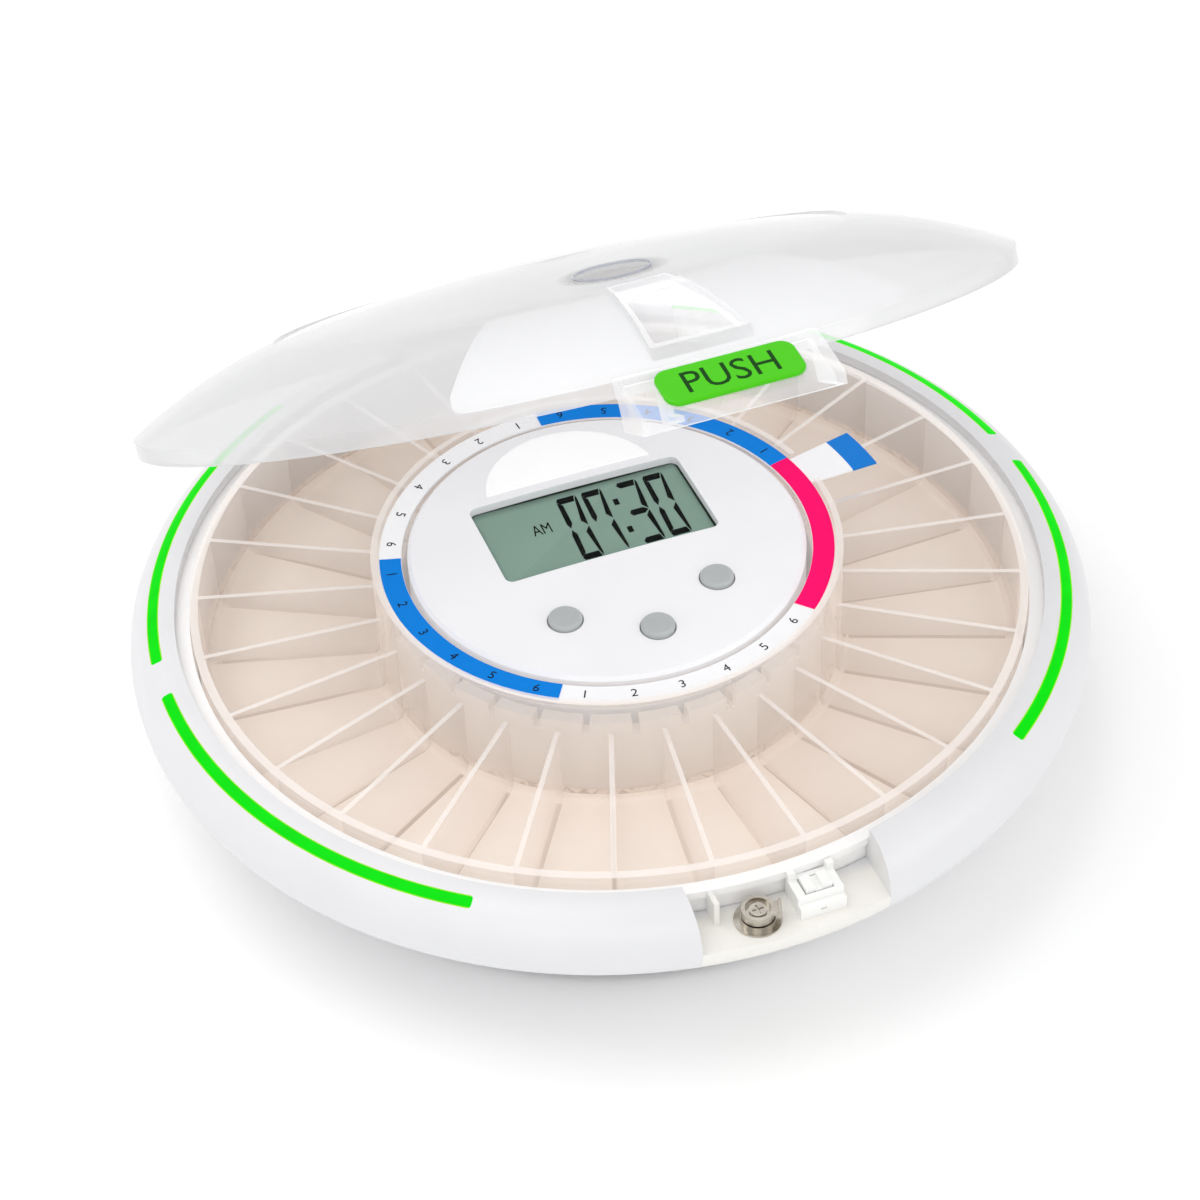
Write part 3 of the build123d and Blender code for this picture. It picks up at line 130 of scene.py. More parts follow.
class DispenserSizes(PropertyGroup):
    """Sizes of the printing, the display and the lid's polished edges."""

    digit_height: length("Ring digit", "Height of the numbers on the dosage ring", 2.3)
    digit_radius: length("Ring digit radius", "Distance of the numbers from the tray's axis", 50.4)
    lcd_height: length("Display digit", "Height of the time on the display", 23.2)
    lcd_width: length("Display digit width", "Width of one digit of the time", 4.9)
    lcd_bar: length("Display bar", "Thickness of a level bar of a digit", 2.1)
    lcd_post: length("Display post", "Thickness of an upright bar of a digit", 1.35)
    push_height: length("Push lettering", "Height of the lettering on the raised label", 6.2)
    flag_band: length("Flag band", "Radius where the blue end of the flag starts", 64.2)
    cup_place: length("Finger cup place", "Distance of the finger cup from the lid's middle", 43.0)
    cup_radius: length("Finger cup radius", "Outer radius of the finger cup", 9.75)
    cup_wall: length("Finger cup wall", "Thickness of the finger cup's wall", 1.3)
    cup_edge: length("Finger cup edge", "Radius of the cup's polished edges", 0.3)
    lcd_am: length("AM height", "Height of the half-day mark", 3.7)


class DispenserStage(PropertyGroup):
    """Camera and studio light."""

    lens: FloatProperty(name="Lens", description="Focal length of the camera on a 36 mm sensor",
                        default=85.512 * MM, min=0.001, unit="CAMERA")
    camera_place: FloatVectorProperty(name="Camera", description="Place of the camera", size=3,
                                      default=(-0.16674, -0.47539, 0.48432), subtype="TRANSLATION",
                                      unit="LENGTH")
    camera_turn: FloatVectorProperty(name="Camera turn", description="Direction of the camera", size=3,
                                     default=[math.radians(a) for a in (48.1745, 1.9316, -20.8161)],
                                     subtype="EULER", unit="ROTATION")
    floor: tone("Floor", "Plain pale floor", 252, 252, 252)
    sky: FloatProperty(name="Room light", description="Strength of the even light from all round",
                       default=0.82)
    key: FloatProperty(name="Key light", description="Power of the large light above", default=4.3,
                       unit="POWER")
    front: FloatProperty(name="Front light", description="Power of the soft light in front", default=1.9,
                         unit="POWER")
    fill: FloatProperty(name="Fill light", description="Power of the side light", default=1.5, unit="POWER")


def colours():
    return bpy.context.scene.dispenser_colours


def sizes():
    return bpy.context.scene.dispenser_sizes


# ---------------------------------------------------------------- node material tools

def blank_material(name):
    material = bpy.data.materials.new(name)
    material.use_nodes = True
    material.node_tree.nodes.clear()
    return material, material.node_tree


def add(tree, kind, settings=None, **inputs):
    """New shader node; inputs are given by name, as values or as sockets to link."""
    made = tree.nodes.new("ShaderNode" + kind)
    for name, value in (settings or {}).items():
        setattr(made, name, value)
    for name, value in inputs.items():
        join(tree, value, made.inputs[name.replace("_", " ")])
    return made


def join(tree, value, socket):
    if isinstance(value, bpy.types.NodeSocket):
        tree.links.new(value, socket)
    else:
        socket.default_value = value


def maths(tree, operation, first, second=0.0):
    made = tree.nodes.new("ShaderNodeMath")
    made.operation = operation
    for socket, value in zip(made.inputs, (first, second)):
        join(tree, value, socket)
    return made.outputs[0]


def rescale(tree, value, low, high, new_low, new_high, smooth=False):
    settings = {"interpolation_type": "SMOOTHSTEP"} if smooth else None
    made = add(tree, "MapRange", settings, Value=value, From_Min=low, From_Max=high,
               To_Min=new_low, To_Max=new_high)
    return made.outputs["Result"]


def vary(tree, noise, low, high):
    """Spreads a noise between two values."""
    return rescale(tree, noise, GRAIN_LOW, GRAIN_HIGH, low, high)


def blend(tree, factor, first, second):
    """Colour between first and second."""
    made = tree.nodes.new("ShaderNodeMix")
    made.data_type = "RGBA"
    join(tree, factor, made.inputs["Factor"])
    for slot, value in (("A", first), ("B", second)):
        socket = next(s for s in made.inputs if s.name == slot and s.type == "RGBA")
        join(tree, value if isinstance(value, bpy.types.NodeSocket) else rgba(value), socket)
    return next(s for s in made.outputs if s.type == "RGBA")


def rgba(colour, factor=1.0):
    return (*[min(1.0, channel * factor) for channel in colour[:3]], 1.0)


def place(tree):
    """Coordinates on the object, in metres."""
    return add(tree, "TexCoord").outputs["Object"]


def grain(tree, size, detail=2.0):
    """Noise whose cells are about the given size."""
    made = add(tree, "TexNoise", Vector=place(tree), Scale=1.0 / size, Detail=detail, Roughness=0.55)
    return made.outputs["Fac"]


def parts(tree, where=None):
    """The X, Y and Z of a position."""
    made = add(tree, "SeparateXYZ", Vector=where or place(tree))
    return made.outputs["X"], made.outputs["Y"], made.outputs["Z"]


def axis_distance(tree):
    """Distance from the tray's axis."""
    x, y, _ = parts(tree)
    squares = maths(tree, "ADD", maths(tree, "MULTIPLY", x, x), maths(tree, "MULTIPLY", y, y))
    return maths(tree, "SQRT", squares)


def relief(tree, height, depth, strength):
    return add(tree, "Bump", Strength=strength, Distance=depth, Height=height).outputs["Normal"]


def finish_shader(tree, shader):
    out = tree.nodes.new("ShaderNodeOutputMaterial")
    tree.links.new(shader, out.inputs["Surface"])


def principled(tree, **inputs):
    return add(tree, "BsdfPrincipled", None, **inputs).outputs["BSDF"]


def dress(material, *names):
    """Puts a material on every slot of these CAD nodes."""
    for name in names:
        mesh = NODES[name].data
        if not mesh.materials:
            mesh.materials.append(material)
        for index in range(len(mesh.materials)):
            mesh.materials[index] = material


# ---------------------------------------------------------------- finishes

def moulded(name, colour, gloss=0.38, fine=0.35, depth=0.012, cloud=18.0, coat=0.0, painted_glow=0.0, shine=0.5,
            pattern=None):
    """Opaque moulding: fine satin texture, faint clouding of the colour and the gloss.

    fine, depth and cloud are in millimetres: texture size, texture depth and cloud size.
    """
    material, tree = blank_material(name)
    texture = grain(tree, fine * MM, 3.0)
    clouding = grain(tree, cloud * MM, 2.0)
    base = pattern(tree) if pattern else colour
    shade = add(tree, "HueSaturation", Value=vary(tree, clouding, 0.975, 1.0))
    join(tree, base if isinstance(base, bpy.types.NodeSocket) else rgba(base), shade.inputs["Color"])
    wear = maths(tree, "ADD", maths(tree, "MULTIPLY", texture, 0.3), maths(tree, "MULTIPLY", clouding, 0.7))
    roughness = vary(tree, wear, gloss * 0.85, gloss * 1.15)
    # Painted light: glow gives off the moulding's own colour as light, though it is no lamp.
    shader = add(tree, "BsdfPrincipled", None, Base_Color=shade.outputs["Color"], Roughness=roughness,
                 Normal=relief(tree, texture, depth * MM, 0.35), Coat_Weight=coat, Coat_Roughness=0.08,
                 Emission_Strength=painted_glow, **{SPECULAR: shine})
    if painted_glow:
        tree.links.new(shade.outputs["Color"], shader.inputs["Emission Color"])
    finish_shader(tree, shader.outputs["BSDF"])
    return material


def clear_moulding(name, colour, haze, edge_haze, shine=0.6, mirror=0.3, gloss=0.07, rim=0.0, cloud=14.0,
                   painted_glow=0.0, edge_painted_shade=1.0, specular=0.5, spot=None):
    """Clear moulding: hazy where it faces the eye, fuller and glossier where it is seen edge-on.

    rim adds fullness to faces that look up, glow is painted light that gives off the plastic's colour
    though it is no lamp, edge_painted_shade below 1 darkens it edge-on as painted shade, and spot is a
    middle, a radius and the share of the haze that is left in it.
    """
    material, tree = blank_material(name)
    swell = grain(tree, cloud * MM, 1.0)
    facing = add(tree, "LayerWeight", Blend=0.5).outputs["Facing"]
    edge = maths(tree, "POWER", facing, EDGE_FALL)
    body = rescale(tree, edge, 0.0, 1.0, haze, edge_haze)
    body = maths(tree, "ADD", body, maths(tree, "MULTIPLY", maths(tree, "POWER", facing, SHINE_FALL), shine))
    body = maths(tree, "MULTIPLY", body, vary(tree, swell, 0.94, 1.06))
    if rim:
        normal = add(tree, "TexCoord").outputs["Normal"]
        _, _, up = parts(tree, normal)
        body = maths(tree, "ADD", body, rescale(tree, up, 0.8, 0.95, 0.0, rim))
    if spot:
        centre, radius, left = spot
        away = add(tree, "VectorMath", {"operation": "DISTANCE"})
        tree.links.new(place(tree), away.inputs[0])
        away.inputs[1].default_value = centre
        clearer = rescale(tree, away.outputs["Value"], radius * 0.7, radius, left, 1.0, smooth=True)
        body = maths(tree, "MULTIPLY", body, clearer)
    amount = maths(tree, "MINIMUM", body, FULLEST)
    # Painted shade: with edge_painted_shade below 1 the solid part's colour darkens where it is seen edge-on.
    shade = rgba(colour)
    if edge_painted_shade < 1.0:
        shade = blend(tree, edge, shade, rgba(colour, edge_painted_shade))
    thin, thick = ([1.0 - (1.0 - channel) * tint for channel in colour] for tint in (FACE_TINT, EDGE_TINT))
    depth = maths(tree, "POWER", facing, TINT_FALL)
    through = add(tree, "BsdfTransparent", Color=blend(tree, depth, thin, thick))
    # Painted light: glow gives off the solid part's colour as light, though the plastic is no lamp.
    solid = principled(tree, Base_Color=shade, Roughness=vary(tree, swell, gloss * 0.8, gloss * 1.3),
                       Metallic=mirror, Normal=relief(tree, swell, 0.2 * MM, 0.2),
                       Emission_Color=shade, Emission_Strength=painted_glow, **{SPECULAR: specular})
    mix = add(tree, "MixShader", Fac=amount)
    tree.links.new(through.outputs[0], mix.inputs[1])
    tree.links.new(solid, mix.inputs[2])
    finish_shader(tree, mix.outputs[0])
    return material


def plated(name, colour, gloss):
    """Bright plated metal with a fine mottle and slightly uneven gloss."""
    material, tree = blank_material(name)
    streaks = grain(tree, 0.25 * MM, 4.0)
    patches = grain(tree, 2.5 * MM, 2.0)
    tint = blend(tree, rescale(tree, patches, 0.35, 0.65, 0.0, 1.0), rgba(colour, 0.86), rgba(colour))
    roughness = vary(tree, streaks, gloss * 0.7, gloss * 1.35)
    shader = principled(tree, Base_Color=tint, Metallic=1.0, Roughness=roughness,
                        Normal=relief(tree, streaks, 0.01 * MM, 0.3))
    finish_shader(tree, shader)
    return material


def lit_bar(name, colour, edge_colour):
    """Lit strip behind clear plastic: even green with a yellower line along both edges."""
    material, tree = blank_material(name)
    middle = (LIGHT_IN_R + LIGHT_OUT_R) / 2
    half = (LIGHT_OUT_R - LIGHT_IN_R) / 2
    off = maths(tree, "ABSOLUTE", maths(tree, "SUBTRACT", axis_distance(tree), middle))
    edge = rescale(tree, off, half * 0.78, half, 0.0, 1.0, smooth=True)
    cells = vary(tree, grain(tree, 6.0 * MM, 1.0), 0.95, 1.05)
    light = add(tree, "HueSaturation", Value=cells, Color=blend(tree, edge, colour, edge_colour))
    shader = principled(tree, Base_Color=rgba(colour, 0.05), Roughness=0.4, **{SPECULAR: FAINT_SHINE},
                        Emission_Color=light.outputs["Color"], Emission_Strength=1.0,
                        Normal=relief(tree, grain(tree, 0.5 * MM), 0.01 * MM, 0.3))
    finish_shader(tree, shader)
    return material


def display_face(name, colour):
    """Liquid crystal panel: painted shade under the frame, a fine dot structure and a painted diagonal
    highlight.
    """
    material, tree = blank_material(name)
    low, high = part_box("lcd_glass")
    x, y, _ = parts(tree)
    # Painted shade: the panel darkens within 3.2 mm of the frame's top and 1.6 mm of its left and right
    # edges, where the frame's shadow falls.
    top = rescale(tree, maths(tree, "SUBTRACT", high.y, y), 0.0, 3.2 * MM, 0.55, 1.0, smooth=True)
    left = rescale(tree, maths(tree, "SUBTRACT", x, low.x), 0.0, 1.6 * MM, 0.78, 1.0, smooth=True)
    right = rescale(tree, maths(tree, "SUBTRACT", high.x, x), 0.0, 1.6 * MM, 0.70, 1.0, smooth=True)
    shade = maths(tree, "MULTIPLY", maths(tree, "MULTIPLY", top, left), right)
    # Painted highlight: the panel is lighter just above a diagonal line, fading back within 16 mm.
    sheen_run = 39.0 * MM          # width that the sheen's edge crosses as it climbs the panel
    slope = (high.y - low.y) / sheen_run
    above = maths(tree, "SUBTRACT", maths(tree, "SUBTRACT", y, low.y),
                  maths(tree, "MULTIPLY", maths(tree, "SUBTRACT", x, low.x), slope))
    painted_sheen = rescale(tree, above, -0.3 * MM, 0.3 * MM, 1.0, 1.07)
    fade = rescale(tree, above, 0.0, 16.0 * MM, 0.0, 0.07)
    level = maths(tree, "MULTIPLY", shade, maths(tree, "SUBTRACT", painted_sheen, maths(tree, "MAXIMUM", fade, 0.0)))
    dots = vary(tree, grain(tree, 0.3 * MM), 0.985, 1.015)
    value = add(tree, "HueSaturation", Value=maths(tree, "MULTIPLY", level, dots), Color=rgba(colour))
    roughness = rescale(tree, dots, 0.98, 1.02, 0.5, 0.6)
    shader = principled(tree, Base_Color=value.outputs["Color"], Roughness=roughness)
    finish_shader(tree, shader)
    return material


def window(name):
    """Clear flat cover of the display."""
    nearly_white = (0.98, 0.99, 0.99)
    return clear_moulding(name, nearly_white, haze=0.0, edge_haze=0.1, shine=0.2, mirror=0.8, gloss=0.05,
                          cloud=30.0)


def segment(name):
    """Dark liquid crystal of a lit bar, nearly without gloss."""
    material, tree = blank_material(name)
    fine = grain(tree, 0.2 * MM)
    tint = blend(tree, vary(tree, fine, 0.0, 1.0), (0.002, 0.003, 0.003), (0.006, 0.007, 0.007))
    shader = principled(tree, Base_Color=tint, Roughness=vary(tree, fine, 0.6, 0.8),
                        **{SPECULAR: FAINT_SHINE})
    finish_shader(tree, shader)
    return material


def ink(name, colour, gloss=0.45, painted_glow=0.0):
    """Printed ink with slightly uneven cover."""
    # Painted light: glow gives off the ink's colour as light, though print is no lamp.
    return moulded(name, colour, gloss=gloss, fine=0.12, depth=0.004, cloud=1.5, painted_glow=painted_glow, shine=0.1)


def rubber(name, colour):
    return moulded(name, colour, gloss=0.75, fine=0.2, depth=0.03, cloud=4.0)


# ---------------------------------------------------------------- mesh tools

def mesh_object(name, form):
    """Object from a bmesh, with its faces turned outwards."""
    bmesh.ops.recalc_face_normals(form, faces=form.faces)
    mesh = bpy.data.meshes.new(name)
    form.to_mesh(mesh)
    form.free()
    made = bpy.data.objects.new(name, mesh)
    bpy.context.scene.collection.objects.link(made)
    return made


def add_prism(form, outline, z0, z1):
    """Closed prism over a flat outline of (x, y) points."""
    low = [form.verts.new((x, y, z0)) for x, y in outline]
    high = [form.verts.new((x, y, z1)) for x, y in outline]
    form.faces.new(list(reversed(low)))
    form.faces.new(high)
    count = len(outline)
    for i in range(count):
        form.faces.new((low[i], low[(i + 1) % count], high[(i + 1) % count], high[i]))


def lettering(words, height, thickness, stretch=1.0):
    """Closed flat letters as a bmesh, middle at the origin, lying in XY with their given height."""
    curve = bpy.data.curves.new("lettering", "FONT")
    curve.body = words
    curve.extrude = 0.5
    curve.resolution_u = 3
    text = bpy.data.objects.new("lettering", curve)
    mesh = bpy.data.meshes.new_from_object(text)
    form = bmesh.new()
    form.from_mesh(mesh)
    bpy.data.objects.remove(text)
    bpy.data.curves.remove(curve)
    bpy.data.meshes.remove(mesh)
    bmesh.ops.remove_doubles(form, verts=form.verts, dist=1e-5)
    low = [min(v.co[i] for v in form.verts) for i in range(3)]
    high = [max(v.co[i] for v in form.verts) for i in range(3)]
    scale = height / (high[1] - low[1])
    middle = [-(a + b) / 2 for a, b in zip(low, high)]
    bmesh.ops.translate(form, verts=form.verts, vec=middle)
    bmesh.ops.scale(form, verts=form.verts, vec=(scale * stretch, scale, thickness / (high[2] - low[2])))
    return form


def add_form(target, form, matrix):
    """Copies a bmesh into another one, moved by the matrix."""
    bmesh.ops.transform(form, matrix=matrix, verts=form.verts)
    mesh = bpy.data.meshes.new("part")
    form.to_mesh(mesh)
    form.free()
    target.from_mesh(mesh)
    bpy.data.meshes.remove(mesh)


def seat(piece, body, material):
    """Finishes a piece and lets it ride on its body."""
    piece.data.materials.append(material)
    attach(piece, body)


# ---------------------------------------------------------------- places taken from the frame

def reach(name):
    """Inner and outer distance of a node from the tray's axis."""
    distances = [math.hypot(v.co.x, v.co.y) for v in NODES[name].data.vertices]
    return min(distances), max(distances)


LIGHT_IN_R, LIGHT_OUT_R = reach("light_front_right")
BAND_TOP_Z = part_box("band_pink")[1].z
RING_TOP_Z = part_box("dosage_ring")[1].z
MODULE_TOP_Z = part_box("lcd_module")[1].z


def broadest_face(name):
    """Middle and direction of the largest face of a node that looks up."""
    mesh = NODES[name].data
    groups = {}
    for face in mesh.polygons:
        key = tuple(round(value, 2) for value in face.normal)
        groups.setdefault(key, []).append(face)
    best = max(groups.values(), key=lambda faces: sum(f.area for f in faces) * (faces[0].normal.z > 0))
    area = sum(face.area for face in best)
    middle = sum((face.center * face.area for face in best), Vector()) / area
    return middle, best[0].normal.copy()


def lid_turn():
    """Turn about the hinge that takes the closed lid to the place where it stands."""
    hinge = next(joint for joint in frame["joints"] if joint["name"] == "lid_hinge")
    spot = Matrix.Translation(hinge["pos_m"])
    turn = Matrix.Rotation(math.radians(-hinge["range_deg"][0]), 4, Vector(hinge["axis"]))
    return spot @ turn @ spot.inverted()


# ---------------------------------------------------------------- printed and lit pieces

def ring_digits():
    """Numbers 1 to 6 printed round the dosage ring, tops towards the hub."""
    form = bmesh.new()
    for slot in range(1, NUMBERED_SLOTS + 1):
        number = (slot - 1) % DOSES_A_GROUP + 1
        angle = math.radians(TRAY_PHASE + (slot + 0.5) * SLOT_ANGLE)
        radius = sizes().digit_radius
        banded = (slot - 1) // DOSES_A_GROUP % 2 == 0
        surface = BAND_TOP_Z if banded else RING_TOP_Z
        spot = Vector((radius * math.cos(angle), radius * math.sin(angle), surface + PRINT_T / 2))
        matrix = Matrix.Translation(spot) @ Matrix.Rotation(angle + math.pi / 2, 4, "Z")
        add_form(form, lettering(str(number), sizes().digit_height, PRINT_T), matrix)
    return mesh_object("ring_digits", form)


# bars of a digit that are lit: top, upper right, lower right, bottom, lower left, upper left, middle
LIT_BARS = {"0": "abcdef", "3": "abcdg", "7": "abcf"}


def digit_bars(width, height, bar, post, lean):
    """Outlines of the seven bars, the digit's lower left corner at the origin."""
    half = height / 2
    cut = bar * 0.5
    split = 0.25 * MM              # between a level bar and an upright one
    gap = 0.2 * MM                 # half the space between the two uprights of a side
    level = {
        "a": [(0.0, height - cut), (cut * 0.4, height), (width - split, height),
              (width - post * 0.5, height - bar), (cut * 0.7, height - bar)],
        "g": [(0.0, half), (cut * 0.5, half + bar / 2), (width - post, half + bar / 2),
              (width - post * 0.2, half), (width - post, half - bar / 2), (cut * 0.5, half - bar / 2)],
        "d": [(0.0, cut), (cut * 0.7, bar), (width - post * 0.5, bar), (width - split, 0.0),
              (cut * 0.4, 0.0)],
    }
    upright = {
        "b": [(width, height), (width + split, height - bar * 0.6), (width, half + bar),
              (width - post * 0.1, half + gap), (width - post, half + bar),
              (width - post * 0.35, height - bar)],
        "c": [(width - post * 0.1, half - gap), (width, half - bar), (width + split, bar * 0.6),
              (width, 0.0), (width - post * 0.35, bar), (width - post, half - bar)],
        "f": [(0.0, height - cut - split), (post * 0.9, height - bar - 2 * split), (post, half + bar),
              (post * 0.4, half + gap), (0.0, half + bar)],
        "e": [(post * 0.4, half - gap), (post, half - bar), (post * 0.9, bar + 2 * split), (0.0, cut + split),
              (0.0, half - bar)],
    }
    outlines = {**level, **upright}
    return {name: [(x + y * lean, y) for x, y in points] for name, points in outlines.items()}


def clock_time():
    """Time on the display as lit bars, with its colon and the half-day mark."""
    form = bmesh.new()
    s = sizes()
    base_y = -2.9 * MM
    digits = (("0", -6.6), ("7", -0.3), ("3", 8.7), ("0", 15.4))
    lean = 0.052
    bars = digit_bars(s.lcd_width, s.lcd_height, s.lcd_bar, s.lcd_post, lean)
    z0, z1 = MODULE_TOP_Z, MODULE_TOP_Z + PRINT_T
    for digit, start in digits:
        for name in LIT_BARS[digit]:
            add_prism(form, [(x + start * MM, y + base_y) for x, y in bars[name]], z0, z1)
    colon = ((7.8, 14.0), (7.3, 3.4))
    dot = ((-0.7, -1.1), (0.6, -1.1), (0.7, 1.1), (-0.6, 1.1))
    for x, y in colon:
        add_prism(form, [((x + dx) * MM, (y + dy) * MM) for dx, dy in dot], z0, z1)
    mark_place = Vector((-12.0 * MM, 11.5 * MM, (z0 + z1) / 2))
    add_form(form, lettering("AM", s.lcd_am, PRINT_T, stretch=0.62), Matrix.Translation(mark_place))
    return mesh_object("display_time", form)


def add_tube(form, points, radius, sides=10):
    """Closed round tube along a closed loop of points that lies flat in XY."""
    count = len(points)
    rings = []
    for index, point in enumerate(points):
        along = (points[(index + 1) % count] - points[index - 1]).normalized()
        out = Vector((along.y, -along.x, 0.0))
        angles = [2 * math.pi * side / sides for side in range(sides)]
        up = Vector((0.0, 0.0, 1.0))
        spots = [point + (out * math.cos(a) + up * math.sin(a)) * radius for a in angles]
        rings.append([form.verts.new(spot) for spot in spots])
    for index, here in enumerate(rings):
        there = rings[(index + 1) % count]
        for side in range(sides):
            after = (side + 1) % sides
            form.faces.new((here[side], there[side], there[after], here[after]))


def cup_wall(radius):
    """Middle of the finger cup, and the lid's points at a radius from it, with the lid closed."""
    closed = lid_turn().inverted()
    centre = Vector((0.0, -sizes().cup_place, 0.0))
    lid = [closed @ vertex.co for vertex in NODES["lid_dome"].data.vertices]
    wall = [point for point in lid if abs((point - centre).xy.length - radius) < 0.05 * MM]
    centre.z = sum(point.z for point in wall) / len(wall)
    return centre, wall


def cup_edges():
    """Polished upper and lower edges of the lid's finger cup."""
    s = sizes()
    form = bmesh.new()
    steps = 72
    for radius, upper in ((s.cup_radius - s.cup_wall, True), (s.cup_radius, False)):
        centre, wall = cup_wall(radius)
        points = []
        for step in range(steps):
            angle = 2 * math.pi * step / steps
            spot = centre + Vector((radius * math.cos(angle), radius * math.sin(angle), 0.0))
            near = [point.z for point in wall if (point - spot).xy.length < 1.5 * MM]
            spot.z = max(near) if upper else min(near)
            points.append(spot)
        add_tube(form, points, s.cup_edge)
    bmesh.ops.transform(form, matrix=lid_turn(), verts=form.verts)
    return mesh_object("cup_edges", form)


def push_words():
    """Lettering on the raised green label."""
    middle, up = broadest_face("push_label")
    across = Vector((1.0, 0.0, 0.0))
    rise = up.cross(across).normalized()
    turn = Matrix((across, rise, up)).transposed().to_4x4()
    spot = middle + up * PRINT_T / 2
    form = lettering("PUSH", sizes().push_height, PRINT_T, stretch=0.95)
    bmesh.ops.transform(form, matrix=Matrix.Translation(spot) @ turn, verts=form.verts)
    return mesh_object("push_lettering", form)


# ---------------------------------------------------------------- operators

class DISPENSER_OT_housing(Operator):
    """Satin white bowl, well, hub and battery door"""

    bl_idname = "dispenser.housing"
    bl_label = "Housing"

    def execute(self, context):
        c = colours()
        low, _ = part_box("lock_barrel")
        half_width = 21.3 * MM

        # Painted shade: the warm white fills a box round the lock pocket; the box has no height limit, so it
        # also covers the bowl's outer wall below the pocket.
        def pocket_shade(tree):
            x, y, _ = parts(tree)
            side = rescale(tree, maths(tree, "ABSOLUTE", x), half_width, half_width + 0.3 * MM, 1.0, 0.0)
            back = rescale(tree, y, low.y + 9.0 * MM, low.y + 12.0 * MM, 1.0, 0.0)
            return blend(tree, maths(tree, "MULTIPLY", side, back), c.housing, c.shade)

        dress(moulded("bowl_white", c.housing, gloss=0.36, pattern=pocket_shade), "base_housing")
        dress(moulded("housing_white", c.housing, gloss=0.36), "battery_door", "battery_box")
        # Painted light: the hub and the well give off their own colour as light (glow), though they are no
        # lamps.
        dress(moulded("hub_white", c.hub, gloss=0.36, painted_glow=0.07), "hub_column", "hub_cap")
        dress(moulded("well_white", c.well, gloss=0.42, painted_glow=0.06), "tray_well", "well_wall")
        return {"FINISHED"}


class DISPENSER_OT_light_bars(Operator):
    """Lit green bars in the rim"""

    bl_idname = "dispenser.light_bars"
    bl_label = "Light bars"

    def execute(self, context):
        c = colours()
        green = lit_bar("light_green", c.light, c.light_edge)
        dress(green, "light_front_right", "light_front_left", "light_rear_right", "light_rear_left")
        return {"FINISHED"}


class DISPENSER_OT_tray(Operator):
    """Clear tray with its walls and dividers"""

    bl_idname = "dispenser.tray"
    bl_label = "Tray"

    def execute(self, context):
        c = colours()
        # Painted light: the tray's walls and floor give off their colour as light (glow), though they are no
        # lamps.
        wall = clear_moulding("tray_clear", c.tray, haze=0.11, edge_haze=0.4, shine=0.5, mirror=0.2,
                              gloss=0.12, rim=0.5, painted_glow=0.1)
        floor = moulded("tray_floor_clear", c.tray_floor, gloss=0.22, fine=0.8, cloud=12.0, painted_glow=0.08)
        dress(wall, "tray_dividers", "tray_collar", "tray_outer_wall")
        dress(floor, "tray_floor")
        return {"FINISHED"}


class DISPENSER_OT_drive(Operator):
    """Drive ring, gears and motor"""

    bl_idname = "dispenser.drive"
    bl_label = "Drive"

    def execute(self, context):
        c = colours()
        # Painted light: the drive ring gives off its colour as light (glow), though it is no lamp.
        dress(moulded("drive_ring_white", c.ring, gloss=0.4, painted_glow=0.1), "drive_ring")
        dress(moulded("gear_white", c.latch, gloss=0.45), "ring_gear", "drive_pinion")
        dress(plated("motor_can", (0.45, 0.45, 0.46), gloss=0.4), "drive_motor")
        return {"FINISHED"}


class DISPENSER_OT_dosage_ring(Operator):
    """Printed dosage ring with its bands, flag and numbers"""

    bl_idname = "dispenser.dosage_ring"
    bl_label = "Dosage ring"

    def execute(self, context):
        c = colours()

        def printed(tree):
            start = sizes().flag_band
            past = rescale(tree, axis_distance(tree), start - 0.05 * MM, start, 0.0, 1.0)
            return blend(tree, past, c.label, c.blue)

        # Painted light: the ring's print and its blue and pink bands give off their colour as light (glow),
        # though they are no lamps.
        ring_print = moulded("ring_print", c.label, gloss=0.4, fine=0.2, depth=0.004, painted_glow=0.06, shine=0.2,
                             pattern=printed)
        dress(ring_print, "dosage_ring")
        dress(ink("blue_print", c.blue, 0.5, 0.15), "band_blue_rear", "band_blue_left")
        dress(ink("pink_print", c.pink, 0.5, 0.15), "band_pink")
        seat(ring_digits(), "rotor", ink("number_ink", c.ink))
        return {"FINISHED"}


class DISPENSER_OT_display(Operator):
    """Display panel, its window and the time"""

    bl_idname = "dispenser.display"
    bl_label = "Display"

    def execute(self, context):
        c = colours()
        dress(display_face("display_panel", c.lcd), "lcd_module")
        dress(window("display_window"), "lcd_glass")
        seat(clock_time(), "base", segment("display_segment"))
        return {"FINISHED"}


class DISPENSER_OT_keys(Operator):
    """Three keys and the blank label of the hub"""

    bl_idname = "dispenser.keys"
    bl_label = "Keys and hub label"

    def execute(self, context):
        c = colours()
        grey = moulded("key_grey", c.keys, gloss=0.4, fine=0.25)
        dress(grey, "button_left", "button_middle", "button_right")
        # Painted light: the hub label gives off its colour as light (glow), though it is no lamp.
        paper = moulded("hub_label_paper", c.sticker, gloss=0.3, fine=0.2, depth=0.004, painted_glow=0.18)
        dress(paper, "hub_sticker")
        return {"FINISHED"}


class DISPENSER_OT_lock_and_latch(Operator):
    """Plated lock and white push latch"""

    bl_idname = "dispenser.lock_and_latch"
    bl_label = "Lock and latch"

    def execute(self, context):
        c = colours()
        nickel = plated("lock_nickel", c.nickel, gloss=0.2)
        dress(nickel, "lock_barrel", "lock_plug", "lock_cam", "cam_screw")
        dress(moulded("latch_white", c.latch, gloss=0.35), "latch_housing", "latch_plunger")
        return {"FINISHED"}


